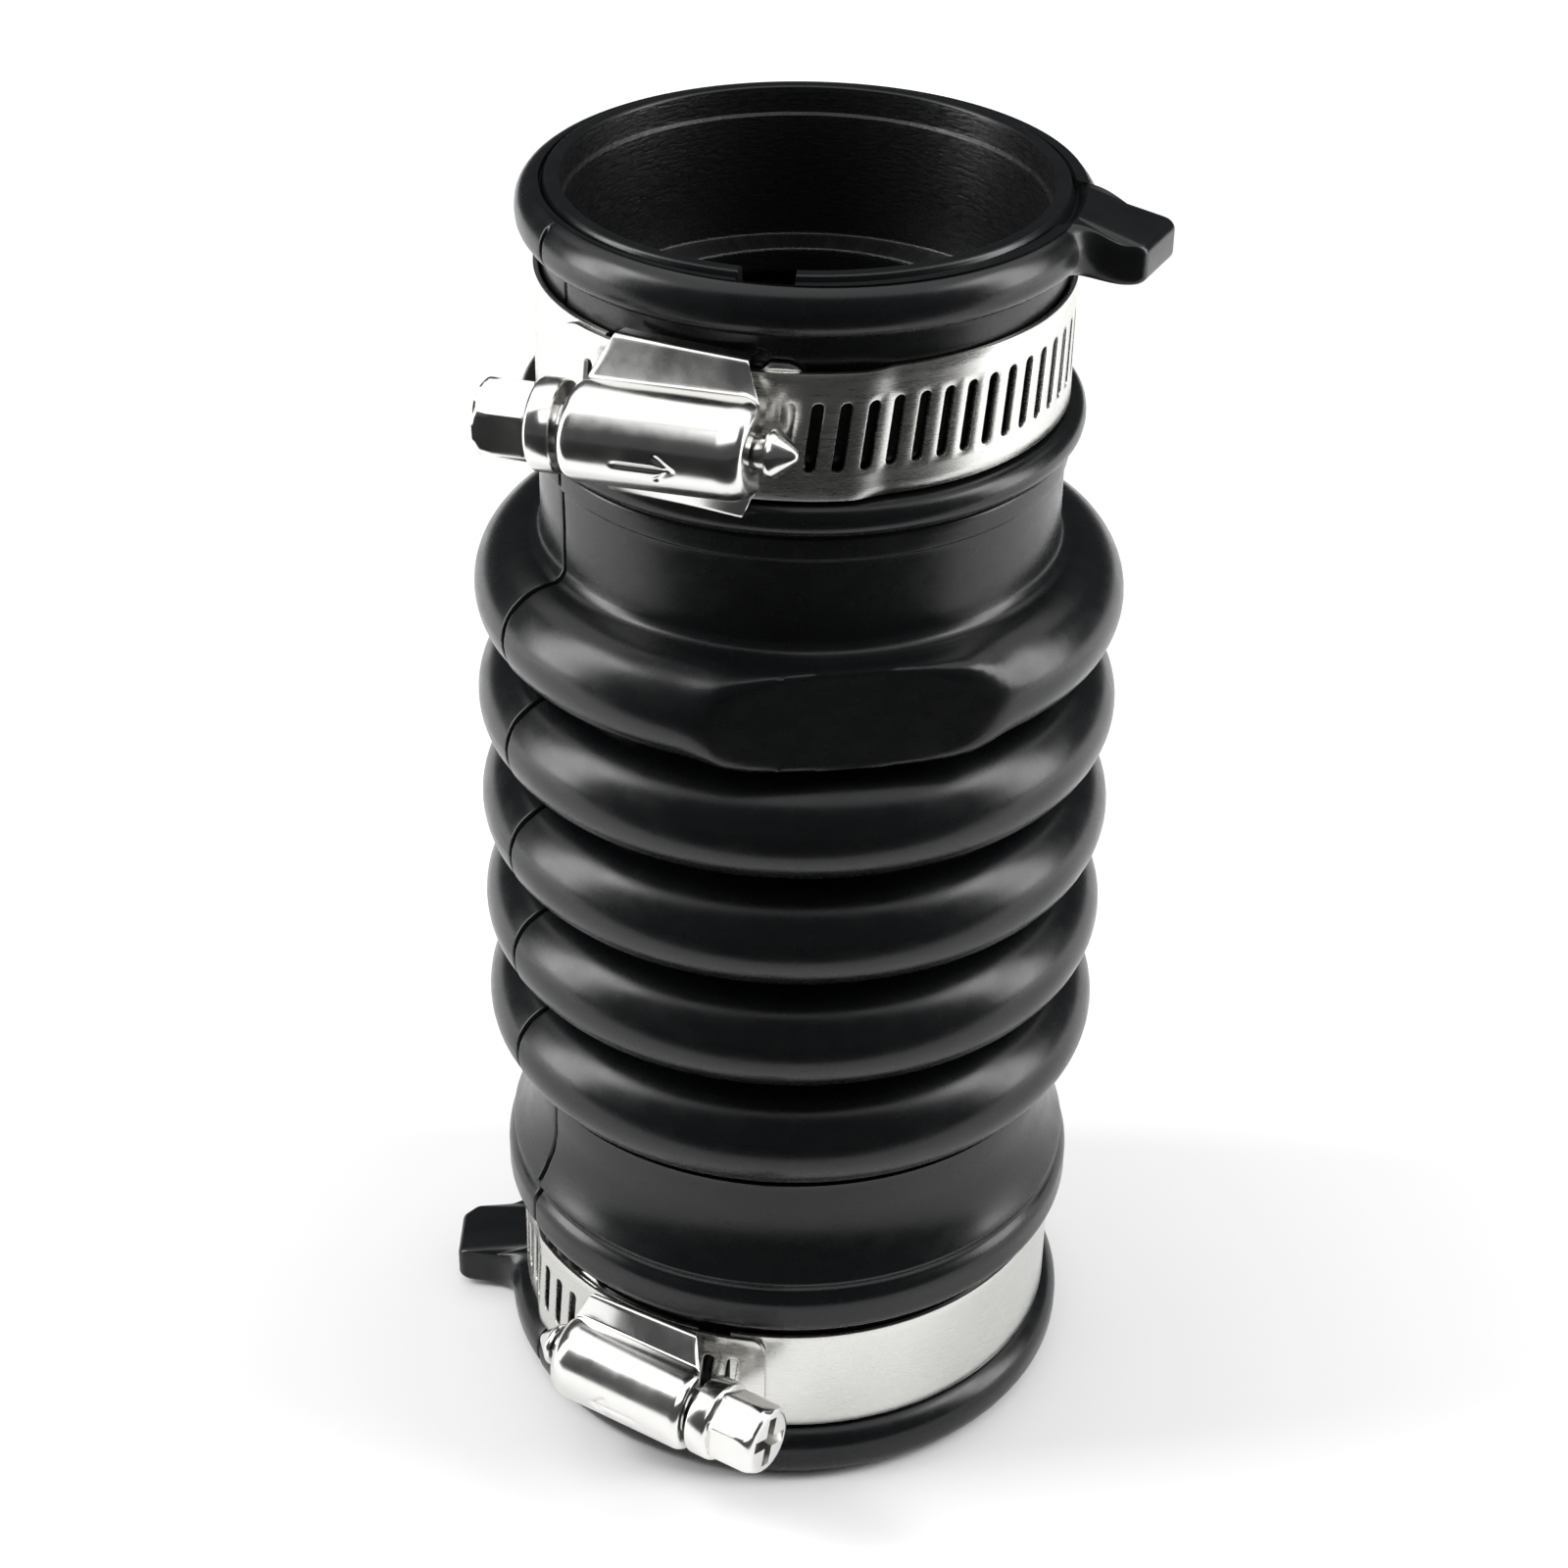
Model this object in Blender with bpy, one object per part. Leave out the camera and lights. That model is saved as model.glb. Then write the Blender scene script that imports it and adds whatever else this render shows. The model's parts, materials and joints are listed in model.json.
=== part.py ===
"""Flexible pipe coupling: a moulded rubber bellows with a worm-drive hose clamp on each cuff.

The hose axis is vertical. The larger cuff stands on the floor and the smaller one is on top.
The boot is one moulding, cut here at the bottoms of its valleys into stiff and flexing lengths,
so that it can bend and stretch. Each clamp has a slotted band, a saddle, a housing and a screw.
"""

from math import cos, pi, radians, sin

import bmesh
import bpy
from mathutils import Matrix, Vector

MM = 0.001
GAP = 0.3 * MM  # between pieces that touch on the real coupling

# Hose axis, measured from the middle of the footprint.
AXIS_X = 2.024 * MM
AXIS_Y = 5.450 * MM

# Rubber boot.
SIDES = 32
HEIGHT = 155.8 * MM
CREST_R = 37.0 * MM
CONVOLUTIONS = 5
FOLD_PITCH = 14.08 * MM
TOP_CREST_Z = 107.6 * MM
FOLD_R = 6.1 * MM  # outside radius of a convolution's section
FOLD_HOLLOW_R = 3.2 * MM  # inside radius of the same section
ROOT_R = 29.4 * MM  # outside of the boot in a valley
ROOT_BORE_R = 26.5 * MM
UPPER_BORE_R = 26.0 * MM
UPPER_STOP_R = 21.6 * MM
UPPER_STOP_Z = 138.2 * MM  # face that the upper pipe's end rests on
UPPER_LAND_R = 28.5 * MM
UPPER_BEAD_R = 31.2 * MM
UPPER_NECK_R = 29.3 * MM
LOWER_BORE_R = 30.5 * MM
LOWER_STOP_R = 26.2 * MM
LOWER_STOP_Z = 18.5 * MM  # face that the lower pipe's end rests on
LOWER_LAND_R = 32.8 * MM
LOWER_BEAD_R = 35.3 * MM
LOWER_NECK_R = 33.9 * MM
FLAT_OFFSET = 33.4 * MM  # flat on the top convolution, from the hose axis
FLAT_WALL = 2.2 * MM
FLAT_ANGLE = 10.0
NOTCH_ANGLES = (-14.0, -2.3)
NOTCH_FLOOR_Z = 152.7 * MM

# Clamp band and saddle.
BAND_HALF = 7.1 * MM
BAND_THICK = 0.6 * MM
BAND_LIFT = 0.9 * MM  # where the slotted end lies over the saddle and the plain end
SLOT_PITCH = 2.85 * MM
SLOT_WIDTH = 1.2 * MM
SLOT_LENGTH = 7.8 * MM
SLOT_LEAN = 6.5
SLOT_COUNT = 28
TAIL_CELLS = 5  # slot pitches from the housing's middle to the loose end
TAIL_END_HALF = 4.8 * MM
LIFT_CELLS = 6.5
LIFT_RAMP_CELLS = 1.5
PLAIN_END_ARC = 10.2 * MM  # from the housing's middle back to the plain end
SADDLE_START_ARC = -6.2 * MM
SADDLE_FLARE_ARC = 9.3 * MM
SADDLE_END_ARC = 12.5 * MM
SADDLE_HALF = 6.9 * MM
SADDLE_CORNER = 2.0 * MM

# Housing and screw. Distances along the screw start abreast of the housing's middle.
SCREW_RISE = 4.5 * MM  # screw axis above the band's outer face
SCREW_TILT = 5.6  # the head leans away from the hose
SCREW_LEAN = 2.3  # the head leans down, as the slots do
BARREL_R = 5.4 * MM
BARREL_WALL = 0.9 * MM
BARREL_BACK = -9.7 * MM
BARREL_FRONT = 9.8 * MM
BARREL_ARC = 112.0
BARREL_STEPS = 10
FLANGE_HALF = 8.2 * MM
FLANGE_INSIDE = 7.4 * MM
FLANGE_KNEE_RISE = 1.35 * MM
FLANGE_REACH = 0.72  # length of the flange's edge over the barrel's length
SCREW_SIDES = 12
HEX_ACROSS = 8.0 * MM
HEAD_END = -20.0 * MM
COLLAR_BACK = -13.8 * MM
COLLAR_FRONT = -11.0 * MM
COLLAR_R = 4.9 * MM
NECK_R = 2.9 * MM
WORM_BACK = -9.2 * MM
WORM_R = 3.15 * MM
WORM_CORE_R = 2.5 * MM
WORM_RINGS_PER_TURN = 4
WORM_TURNS = 6
TIP_NECK_R = 1.7 * MM
TIP_DISC_R = 2.6 * MM
TIP_END = 14.0 * MM
RECESS_WIDTH = 1.3 * MM
RECESS_SPAN = 6.4 * MM
RECESS_DEPTH = 2.0 * MM

# The two clamps. The lower one is the same clamp turned over.
CLAMPS = {
    "upper": {
        "land": UPPER_LAND_R,
        "z": 139.15 * MM,
        "angle": -23.9,
        "turned_over": False,
        "slot_phase": -1.9,
        "feet": (-0.3 * MM, 2.1 * MM),
        "saddle": (7.8 * MM, SADDLE_HALF),
    },
    "lower": {
        "land": LOWER_LAND_R,
        "z": 14.7 * MM,
        "angle": -28.3,
        "turned_over": True,
        "slot_phase": 2.0,
        "feet": (2.1 * MM, 1.5 * MM),
        "saddle": (SADDLE_HALF, 7.7 * MM),
    },
}

RUBBER = ((0.012, 0.013, 0.014), 0.42, 0.0)
BAND_STEEL = ((0.62, 0.61, 0.58), 0.28, 1.0)
BRIGHT_STEEL = ((0.78, 0.78, 0.77), 0.14, 1.0)


def clear_scene():
    for old in list(bpy.data.objects):
        bpy.data.objects.remove(old, do_unlink=True)


def make_material(name, look):
    colour, roughness, metallic = look
    material = bpy.data.materials.new(name)
    material.use_nodes = True
    shader = material.node_tree.nodes["Principled BSDF"]
    shader.inputs["Base Color"].default_value = (*colour, 1.0)
    shader.inputs["Roughness"].default_value = roughness
    shader.inputs["Metallic"].default_value = metallic
    return material


def make_empty(name, matrix, parent=None):
    empty = bpy.data.objects.new(name, None)
    bpy.context.scene.collection.objects.link(empty)
    empty.parent = parent
    empty.matrix_basis = matrix
    return empty


def make_object(bm, name, look, parent, sharp=40.0):
    """Turn a finished bmesh into an object that is shaded smooth up to the sharp angle."""
    bmesh.ops.remove_doubles(bm, verts=bm.verts, dist=0.001 * MM)
    bmesh.ops.recalc_face_normals(bm, faces=bm.faces)
    mesh = bpy.data.meshes.new(name)
    bm.to_mesh(mesh)
    bm.free()
    mesh.shade_smooth()
    mesh.set_sharp_from_angle(angle=radians(sharp))
    piece = bpy.data.objects.new(name, mesh)
    bpy.context.scene.collection.objects.link(piece)
    piece.parent = parent
    piece.data.materials.append(make_material(name, look))
    return piece


def make_helper(bm, name, parent):
    """A cutter or an added form: the build leaves it out."""
    helper = make_object(bm, name, RUBBER, parent)
    helper.hide_render = True
    helper.display_type = "WIRE"
    return helper


def combine(piece, helper, operation):
    modifier = piece.modifiers.new(helper.name, "BOOLEAN")
    modifier.operation = operation
    modifier.solver = "EXACT"
    modifier.object = helper


def around(radius, angle, z):
    """A point at this angle from the front, turning to the right."""
    return Vector((radius * sin(angle), -radius * cos(angle), z))


# ---------------------------------------------------------------- rubber boot


def arc(centre_r, centre_z, radius, start, end, steps):
    """Points of an arc in the boot's section, with angles in degrees up from straight out."""
    points = []
    for step in range(steps + 1):
        angle = radians(start + (end - start) * step / steps)
        points.append((centre_r + radius * cos(angle), centre_z + radius * sin(angle)))
    return points


def turn(outline):
    """Spin a closed outline of (radius, height) once around the hose axis."""
    bm = bmesh.new()
    verts = [bm.verts.new(around(r, 0.0, z)) for r, z in outline]
    for index, vert in enumerate(verts):
        bm.edges.new((vert, verts[(index + 1) % len(verts)]))
    bmesh.ops.spin(
        bm,
        geom=bm.verts[:] + bm.edges[:],
        cent=(0, 0, 0),
        axis=(0, 0, 1),
        angle=2 * pi,
        steps=SIDES,
        use_merge=True,
    )
    return bm


def fold_outline(number):
    """Section of one convolution, from valley bottom to valley bottom."""
    z = TOP_CREST_Z - (number - 1) * FOLD_PITCH
    half = FOLD_PITCH / 2 - GAP / 2
    centre_r = CREST_R - FOLD_R
    first, last = -90, 90
    hollow_first = -90
    below = (ROOT_R, z - half)
    below_inside = (ROOT_BORE_R, z - half)
    above = (ROOT_R, z + half)
    above_inside = (ROOT_BORE_R, z + half)
    if number == 1:
        above = (UPPER_NECK_R + 0.6 * MM, z + half)
    if number == CONVOLUTIONS:
        first, hollow_first = -58, -60
        below = (LOWER_NECK_R, z - half)
        below_inside = (LOWER_NECK_R - 3.1 * MM, z - half)
    outside = arc(centre_r, z, FOLD_R, first, last, 7)
    inside = arc(centre_r, z, FOLD_HOLLOW_R, 90, hollow_first, 4)
    return [below, *outside, above, above_inside, *inside, below_inside]


def flatten_front(bm):
    """Press a flat into the top convolution, keeping its wall."""
    normal = around(1.0, radians(FLAT_ANGLE), 0.0)
    hollow_r = CREST_R - FOLD_R + FOLD_HOLLOW_R
    centre_r = CREST_R - FOLD_R
    for vert in bm.verts:
        radius = Vector((vert.co.x, vert.co.y)).length
        section_r = Vector((radius - centre_r, vert.co.z - TOP_CREST_Z)).length
        outside = section_r > (hollow_r - centre_r + FOLD_R) / 2
        limit = FLAT_OFFSET if outside else FLAT_OFFSET - FLAT_WALL
        excess = vert.co.dot(normal) - limit
        if excess > 0:
            vert.co -= normal * excess


def build_convolution(number, parent):
    bm = turn(fold_outline(number))
    if number == 1:
        flatten_front(bm)
    return make_object(bm, f"convolution_{number}", RUBBER, parent)


def upper_cuff_outline():
    bottom = TOP_CREST_Z + FOLD_PITCH / 2 + GAP / 2
    land, bead, neck = UPPER_LAND_R, UPPER_BEAD_R, UPPER_NECK_R
    lower_bead = arc(bead - 1.7 * MM, 129.8 * MM, 1.8 * MM, -70, 70, 3)
    rim = arc(bead - 2.8 * MM, 152.6 * MM, 2.8 * MM, -60, 75, 5)
    outside = [
        (neck + 0.6 * MM, bottom),
        (neck + 0.1 * MM, bottom + 1.6 * MM),
        (neck, 124.6 * MM),
        (neck + 0.4 * MM, 125.0 * MM),
        (neck + 0.4 * MM, 127.2 * MM),
        (neck, 127.6 * MM),
        *lower_bead,
        (land, 131.7 * MM),
        (land, 149.3 * MM),
        *rim,
        (28.3 * MM, 154.5 * MM),
        (27.9 * MM, HEIGHT),
    ]
    inside = [
        (UPPER_BORE_R + 0.3 * MM, HEIGHT),
        (UPPER_BORE_R, 152.6 * MM),
        (UPPER_BORE_R, UPPER_STOP_Z),
        (UPPER_STOP_R, UPPER_STOP_Z),
        (UPPER_STOP_R, 135.4 * MM),
        (UPPER_BORE_R + 0.1 * MM, 132.4 * MM),
        (ROOT_BORE_R, bottom),
    ]
    return outside + inside


def lower_cuff_outline():
    top = TOP_CREST_Z - (CONVOLUTIONS - 0.5) * FOLD_PITCH - GAP / 2
    land, bead, neck = LOWER_LAND_R, LOWER_BEAD_R, LOWER_NECK_R
    foot = arc(bead - 3.1 * MM, 3.7 * MM, 3.4 * MM, -52, 75, 5)
    shoulder = arc(bead - 4.6 * MM, 27.2 * MM, 4.6 * MM, -48, 38, 4)
    outside = [
        (LOWER_BORE_R + 0.5 * MM, 0.0),
        (bead - 1.4 * MM, 0.0),
        *foot,
        (land, 7.2 * MM),
        (land, 22.8 * MM),
        *shoulder,
        (neck - 0.1 * MM, 36.0 * MM),
        (neck, top),
    ]
    inside = [
        (neck - 3.1 * MM, top),
        (neck - 3.1 * MM, 24.6 * MM),
        (LOWER_STOP_R, 21.6 * MM),
        (LOWER_STOP_R, LOWER_STOP_Z),
        (LOWER_BORE_R, LOWER_STOP_Z),
        (LOWER_BORE_R, 0.5 * MM),
    ]
    return outside + inside


def block(corners_low, corners_high):
    """A six-sided solid from two rings of four corners, both in the same turning order."""
    bm = bmesh.new()
    low = [bm.verts.new(corner) for corner in corners_low]
    high = [bm.verts.new(corner) for corner in corners_high]
    bm.faces.new(low[::-1])
    bm.faces.new(high)
    for index in range(4):
        after = (index + 1) % 4
        bm.faces.new((low[index], low[after], high[after], high[index]))
    return bm


def build_notch(parent):
    """The gap in the rim, through the lip and the top of the bead."""
    left, right = (radians(angle) for angle in NOTCH_ANGLES)
    inner, outer = UPPER_BORE_R - 2 * MM, UPPER_BEAD_R + 3 * MM
    plan = [(inner, left), (outer, left), (outer, right), (inner, right)]
    low = [around(r, angle, NOTCH_FLOOR_Z) for r, angle in plan]
    high = [around(r, angle, HEIGHT + 2 * MM) for r, angle in plan]
    return make_helper(block(low, high), "rim_notch_cutter", parent)


def build_upper_cuff(parent):
    cuff = make_object(turn(upper_cuff_outline()), "upper_cuff", RUBBER, parent)
    plan = [
        around(29.0 * MM, radians(67.5), 0.0).xy,
        (35.3 * MM, -12.3 * MM),
        (39.3 * MM, -4.0 * MM),
        around(29.0 * MM, radians(89.0), 0.0).xy,
    ]
    tops = (154.8 * MM, 152.8 * MM, 152.8 * MM, 154.8 * MM)
    low = [(x, y, top - 4.3 * MM) for (x, y), top in zip(plan, tops)]
    high = [(x, y, top) for (x, y), top in zip(plan, tops)]
    combine(cuff, round_block(low, high, "upper_tab_form", parent), "UNION")
    combine(cuff, build_notch(parent), "DIFFERENCE")
    return cuff


def round_block(low, high, name, parent):
    form = make_helper(block(low, high), name, parent)
    bevel = form.modifiers.new("rounded_edges", "BEVEL")
    bevel.width = 0.8 * MM
    bevel.segments = 1
    return form


def build_lower_cuff(parent):
    cuff = make_object(turn(lower_cuff_outline()), "lower_cuff", RUBBER, parent)
    plan = [(-32.0, 9.0), (-43.0, 9.0), (-43.0, -0.3), (-33.0, -0.3)]
    low = [(x * MM, y * MM, 1.1 * MM) for x, y in plan]
    high = [(x * MM, y * MM, 5.6 * MM) for x, y in plan]
    combine(cuff, round_block(low, high, "lower_tab_form", parent), "UNION")
    return cuff


# ---------------------------------------------------------------- clamp band and saddle


def strip(stations, thickness, slots=(), lean=0.0):
    """A bent steel strip.

    Each station is (angle, inner radius, lowest z, highest z). The stretch after a station
    whose index is in slots has a slot through it.
    """
    bm = bmesh.new()
    rows = []
    for angle, inner, low, high in stations:
        outer = inner + thickness
        corners = ((inner, low), (inner, high), (outer, high), (outer, low))
        rows.append([bm.verts.new(around(r, angle, z)) for r, z in corners])
    bm.faces.new(rows[0])
    bm.faces.new(rows[-1][::-1])
    for index in range(len(rows) - 1):
        near, far = rows[index], rows[index + 1]
        bm.faces.new((near[1], far[1], far[2], near[2]))
        bm.faces.new((near[3], far[3], far[0], near[0]))
        if index in slots:
            add_slotted_stretch(bm, near, far, lean)
        else:
            bm.faces.new((near[0], far[0], far[1], near[1]))
            bm.faces.new((near[2], far[2], far[3], near[3]))
    return bm


def slot_outline(lean):
    """Corners of a slot with pointed ends, as (along, up), from bottom left to the right."""
    half, straight = SLOT_LENGTH / 2, SLOT_LENGTH / 2 - SLOT_WIDTH / 2
    side = SLOT_WIDTH / 2
    corners = [(-side, -straight), (0.0, -half), (side, -straight)]
    corners += [(side, straight), (0.0, half), (-side, straight)]
    return [(along + up * lean, up) for along, up in corners]


def add_slotted_stretch(bm, near, far, lean):
    """Faces of one stretch of band around its slot, with near and far rows of four corners."""
    rings = []
    for low, high in ((0, 1), (3, 2)):
        a, b = near[low].co, far[low].co
        length = (b - a).length
        middle_z = (near[low].co.z + near[high].co.z) / 2
        ring = []
        for along, up in slot_outline(lean):
            point = a.lerp(b, 0.5 + along / length)
            point.z = middle_z + up
            ring.append(bm.verts.new(point))
        rings.append(ring)
        n_low, n_high, f_low, f_high = near[low], near[high], far[low], far[high]
        bm.faces.new((n_low, f_low, ring[2], ring[1], ring[0]))
        bm.faces.new((f_low, f_high, ring[3], ring[2]))
        bm.faces.new((f_high, n_high, ring[5], ring[4], ring[3]))
        bm.faces.new((n_high, n_low, ring[0], ring[5]))
    for index in range(6):
        after = (index + 1) % 6
        bm.faces.new((rings[0][index], rings[0][after], rings[1][after], rings[1][index]))


def lift_at(cells):
    """How far the band stands off its land at this many slot pitches past the housing."""
    if cells <= LIFT_CELLS:
        return BAND_LIFT
    return max(0.0, BAND_LIFT * (1 - (cells - LIFT_CELLS) / LIFT_RAMP_CELLS))


def build_band(side, clamp, frame):
    inner = clamp["land"] + GAP
    face_r = inner + BAND_THICK
    cell = SLOT_PITCH / face_r
    phase = radians(clamp["slot_phase"])
    plain_end = 2 * pi - PLAIN_END_ARC / face_r
    stations = []
    cells = -TAIL_CELLS - 0.5
    while phase + cells * cell < plain_end:
        half = BAND_HALF if stations else TAIL_END_HALF
        angle = phase + cells * cell
        stations.append((angle, inner + lift_at(cells), -half, half))
        # Past the slots, two pitches make one stretch.
        cells += 1 if len(stations) <= SLOT_COUNT else 2
    slots = range(1, SLOT_COUNT)
    bm = strip(stations, BAND_THICK, slots, sin(radians(SLOT_LEAN)))
    return make_object(bm, f"{side}_band", BAND_STEEL, frame)


def build_saddle(side, clamp, frame):
    """Curved plate under the slotted end. It is wider where it comes out past the housing."""
    inner = clamp["land"] + GAP
    face_r = inner + BAND_THICK
    high_wide, low_wide = clamp["saddle"]
    arcs = [SADDLE_START_ARC + step * 2.6 * MM for step in range(6)]
    stations = [(along / face_r, inner, -SADDLE_HALF, SADDLE_HALF) for along in arcs]
    wide_end = SADDLE_END_ARC - SADDLE_CORNER
    for along in (SADDLE_FLARE_ARC, wide_end):
        stations.append((along / face_r, inner, -low_wide, high_wide))
    low_end, high_end = low_wide - SADDLE_CORNER, high_wide - SADDLE_CORNER
    stations.append((SADDLE_END_ARC / face_r, inner, -low_end, high_end))
    return make_object(strip(stations, BAND_THICK), f"{side}_saddle", BRIGHT_STEEL, frame)


# ---------------------------------------------------------------- housing and screw


def screw_direction():
    """Unit vector from the screw's head to its tip, in the clamp's own frame."""
    tilt, lean = radians(SCREW_TILT), radians(SCREW_LEAN)
    return Vector((cos(tilt) * cos(lean), sin(tilt) * cos(lean), sin(lean)))


def housing_section(along, outer_r, inner_r, face_r, feet):
    """Closed outline of the housing at a distance along the screw.

    It runs round the outside from the upper flange to the lower one, and back inside.
    """
    centre = Vector((0, -(face_r + SCREW_RISE), 0)) + screw_direction() * along
    reach = along * FLANGE_REACH
    knee_reach = along * (FLANGE_REACH + 0.05)

    def flange(sign, foot):
        outer_knee = max(foot + 0.5 * MM, FLANGE_KNEE_RISE + 0.2 * MM)
        inner_knee = max(foot + 0.1 * MM, FLANGE_KNEE_RISE)
        outer_z, inner_z = sign * FLANGE_HALF, sign * FLANGE_INSIDE
        outside = [
            Vector((reach, -(face_r + foot), outer_z)),
            Vector((knee_reach, -(face_r + outer_knee), outer_z)),
        ]
        inside = [
            Vector((reach, -(face_r + foot), inner_z)),
            Vector((knee_reach, -(face_r + inner_knee), inner_z)),
        ]
        return outside, inside

    def wrap(radius):
        points = []
        for step in range(BARREL_STEPS + 1):
            angle = radians(BARREL_ARC * (1 - 2 * step / BARREL_STEPS))
            points.append(centre + Vector((0, -radius * cos(angle), radius * sin(angle))))
        return points

    top_outside, top_inside = flange(1, feet[0])
    low_outside, low_inside = flange(-1, feet[1])
    outside = [*top_outside, *wrap(outer_r), *low_outside[::-1]]
    inside = [*top_inside, *wrap(inner_r), *low_inside[::-1]]
    return outside, inside


def build_housing(side, clamp, frame):
    """The wrapped barrel with its ends turned in and its flanges gripping the saddle."""
    face_r = clamp["land"] + GAP + BAND_THICK
    back, front = BARREL_BACK, BARREL_FRONT
    inside_r = BARREL_R - BARREL_WALL
    profile = [
        (back, BARREL_R - 0.8 * MM, inside_r - 0.3 * MM),
        (back + 0.6 * MM, BARREL_R - 0.2 * MM, inside_r - 0.1 * MM),
        (back + 1.5 * MM, BARREL_R, inside_r),
        (front - 1.6 * MM, BARREL_R, inside_r),
        (front - 0.7 * MM, BARREL_R - 0.3 * MM, inside_r - 0.4 * MM),
        (front, BARREL_R - 1.1 * MM, inside_r - 1.0 * MM),
    ]
    bm = bmesh.new()
    rows = []
    for along, outer_r, inner_r in profile:
        outside, inside = housing_section(along, outer_r, inner_r, face_r, clamp["feet"])
        rows.append([[bm.verts.new(p) for p in line] for line in (outside, inside)])
    last = len(rows[0][0]) - 1
    for near, far in zip(rows, rows[1:]):
        for line in (0, 1):
            for index in range(last):
                quad = (near[line][index], near[line][index + 1])
                bm.faces.new((*quad, far[line][index + 1], far[line][index]))
        for index in (0, last):
            bm.faces.new((near[0][index], far[0][index], far[1][index], near[1][index]))
    for end in (rows[0], rows[-1]):
        for index in range(last):
            quad = (end[0][index], end[0][index + 1], end[1][index + 1], end[1][index])
            bm.faces.new(quad)
    return make_object(bm, f"{side}_housing", BRIGHT_STEEL, frame, sharp=35.0)


def hexagon_radius(angle):
    """Distance from the middle of the hexagon to its side, at this angle."""
    within = (angle + pi / 6) % (pi / 3) - pi / 6
    return HEX_ACROSS / 2 / cos(within)


def worm_radius(angle, along):
    """Right-handed trapezoid thread."""
    turns = (along / SLOT_PITCH - angle / (2 * pi)) % 1.0
    slope = min(max((0.36 - abs(turns - 0.5)) / 0.18, 0.0), 1.0)
    return WORM_CORE_R + (WORM_R - WORM_CORE_R) * slope


def screw_rings():
    """(distance along the screw, radius or radius rule) from the head to the tip."""
    rings = [
        (HEAD_END, HEX_ACROSS / 2 - 0.3 * MM),
        (HEAD_END + 0.5 * MM, hexagon_radius),
        (COLLAR_BACK - 0.1 * MM, hexagon_radius),
        (COLLAR_BACK, COLLAR_R),
        (COLLAR_FRONT, COLLAR_R),
        (COLLAR_FRONT + 0.1 * MM, NECK_R),
        (WORM_BACK, NECK_R),
    ]
    for ring in range(1, WORM_TURNS * WORM_RINGS_PER_TURN):
        along = WORM_BACK + ring * SLOT_PITCH / WORM_RINGS_PER_TURN
        rings.append((along, lambda angle, at=along: worm_radius(angle, at)))
    worm_front = WORM_BACK + WORM_TURNS * SLOT_PITCH
    rings += [
        (worm_front, WORM_CORE_R),
        (worm_front + 0.2 * MM, TIP_NECK_R),
        (TIP_END - 3.1 * MM, TIP_NECK_R),
        (TIP_END - 2.9 * MM, TIP_DISC_R),
        (TIP_END - 2.3 * MM, TIP_DISC_R),
        (TIP_END, 0.5 * MM),
    ]
    return rings


def build_recess(side, screw):
    """Cross recess in the screw's head."""
    cutters = []
    for turned in (0, 1):
        bm = bmesh.new()
        bmesh.ops.create_cube(bm, size=1.0)
        size = (RECESS_SPAN, RECESS_WIDTH + turned * 0.1 * MM, 2 * RECESS_DEPTH)
        bmesh.ops.scale(bm, vec=size, verts=bm.verts)
        quarter = Matrix.Rotation(turned * pi / 2, 3, "Z")
        bmesh.ops.rotate(bm, cent=(0, 0, 0), matrix=quarter, verts=bm.verts)
        bmesh.ops.translate(bm, vec=(0, 0, HEAD_END), verts=bm.verts)
        cutters.append(make_helper(bm, f"{side}_recess_cutter_{turned}", screw))
    return cutters


def build_screw(side, clamp, frame):
    """Hexagon head, collar, worm and tip in one piece, with the origin on the screw axis."""
    face_r = clamp["land"] + GAP + BAND_THICK
    bm = bmesh.new()
    rows = []
    for along, radius in screw_rings():
        row = []
        for index in range(SCREW_SIDES):
            angle = 2 * pi * index / SCREW_SIDES
            r = radius(angle) if callable(radius) else radius
            row.append(bm.verts.new((r * cos(angle), r * sin(angle), along)))
        rows.append(row)
    for near, far in zip(rows, rows[1:]):
        for index in range(SCREW_SIDES):
            after = (index + 1) % SCREW_SIDES
            bm.faces.new((near[index], near[after], far[after], far[index]))
    bm.faces.new(rows[0][::-1])
    bm.faces.new(rows[-1])
    axis = make_empty(
        f"{side}_screw_axis",
        Matrix.Translation((0, -(face_r + SCREW_RISE), 0))
        @ screw_direction().to_track_quat("Z", "Y").to_matrix().to_4x4(),
        frame,
    )
    screw = make_object(bm, f"{side}_screw", BRIGHT_STEEL, axis, sharp=35.0)
    for cutter in build_recess(side, axis):
        combine(screw, cutter, "DIFFERENCE")
    return screw


def build_clamp(side, parent):
    clamp = CLAMPS[side]
    place = Matrix.Translation((0, 0, clamp["z"]))
    place @= Matrix.Rotation(radians(clamp["angle"]), 4, "Z")
    if clamp["turned_over"]:
        place @= Matrix.Rotation(pi, 4, "Y")
    frame = make_empty(f"{side}_clamp_frame", place, parent)
    build_band(side, clamp, frame)
    build_saddle(side, clamp, frame)
    build_housing(side, clamp, frame)
    build_screw(side, clamp, frame)


def build_coupling():
    clear_scene()
    hose_axis = make_empty("hose_axis", Matrix.Translation((AXIS_X, AXIS_Y, 0)))
    build_lower_cuff(hose_axis)
    for number in range(CONVOLUTIONS, 0, -1):
        build_convolution(number, hose_axis)
    build_upper_cuff(hose_axis)
    for side in CLAMPS:
        build_clamp(side, hose_axis)


build_coupling()
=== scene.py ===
"""Looks of the flexible pipe coupling: a moulded rubber bellows with a worm-drive clamp on each cuff.

Lengths in the tables are millimetres, and MM turns them into metres. Angles are in degrees from
the front, positive to the right, and heights are above the floor, as in the CAD model.
"""

import json
from math import atan2, cos, pi, radians, sin

import bmesh
import bpy
import numpy as np
from mathutils import Matrix, Vector

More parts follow.
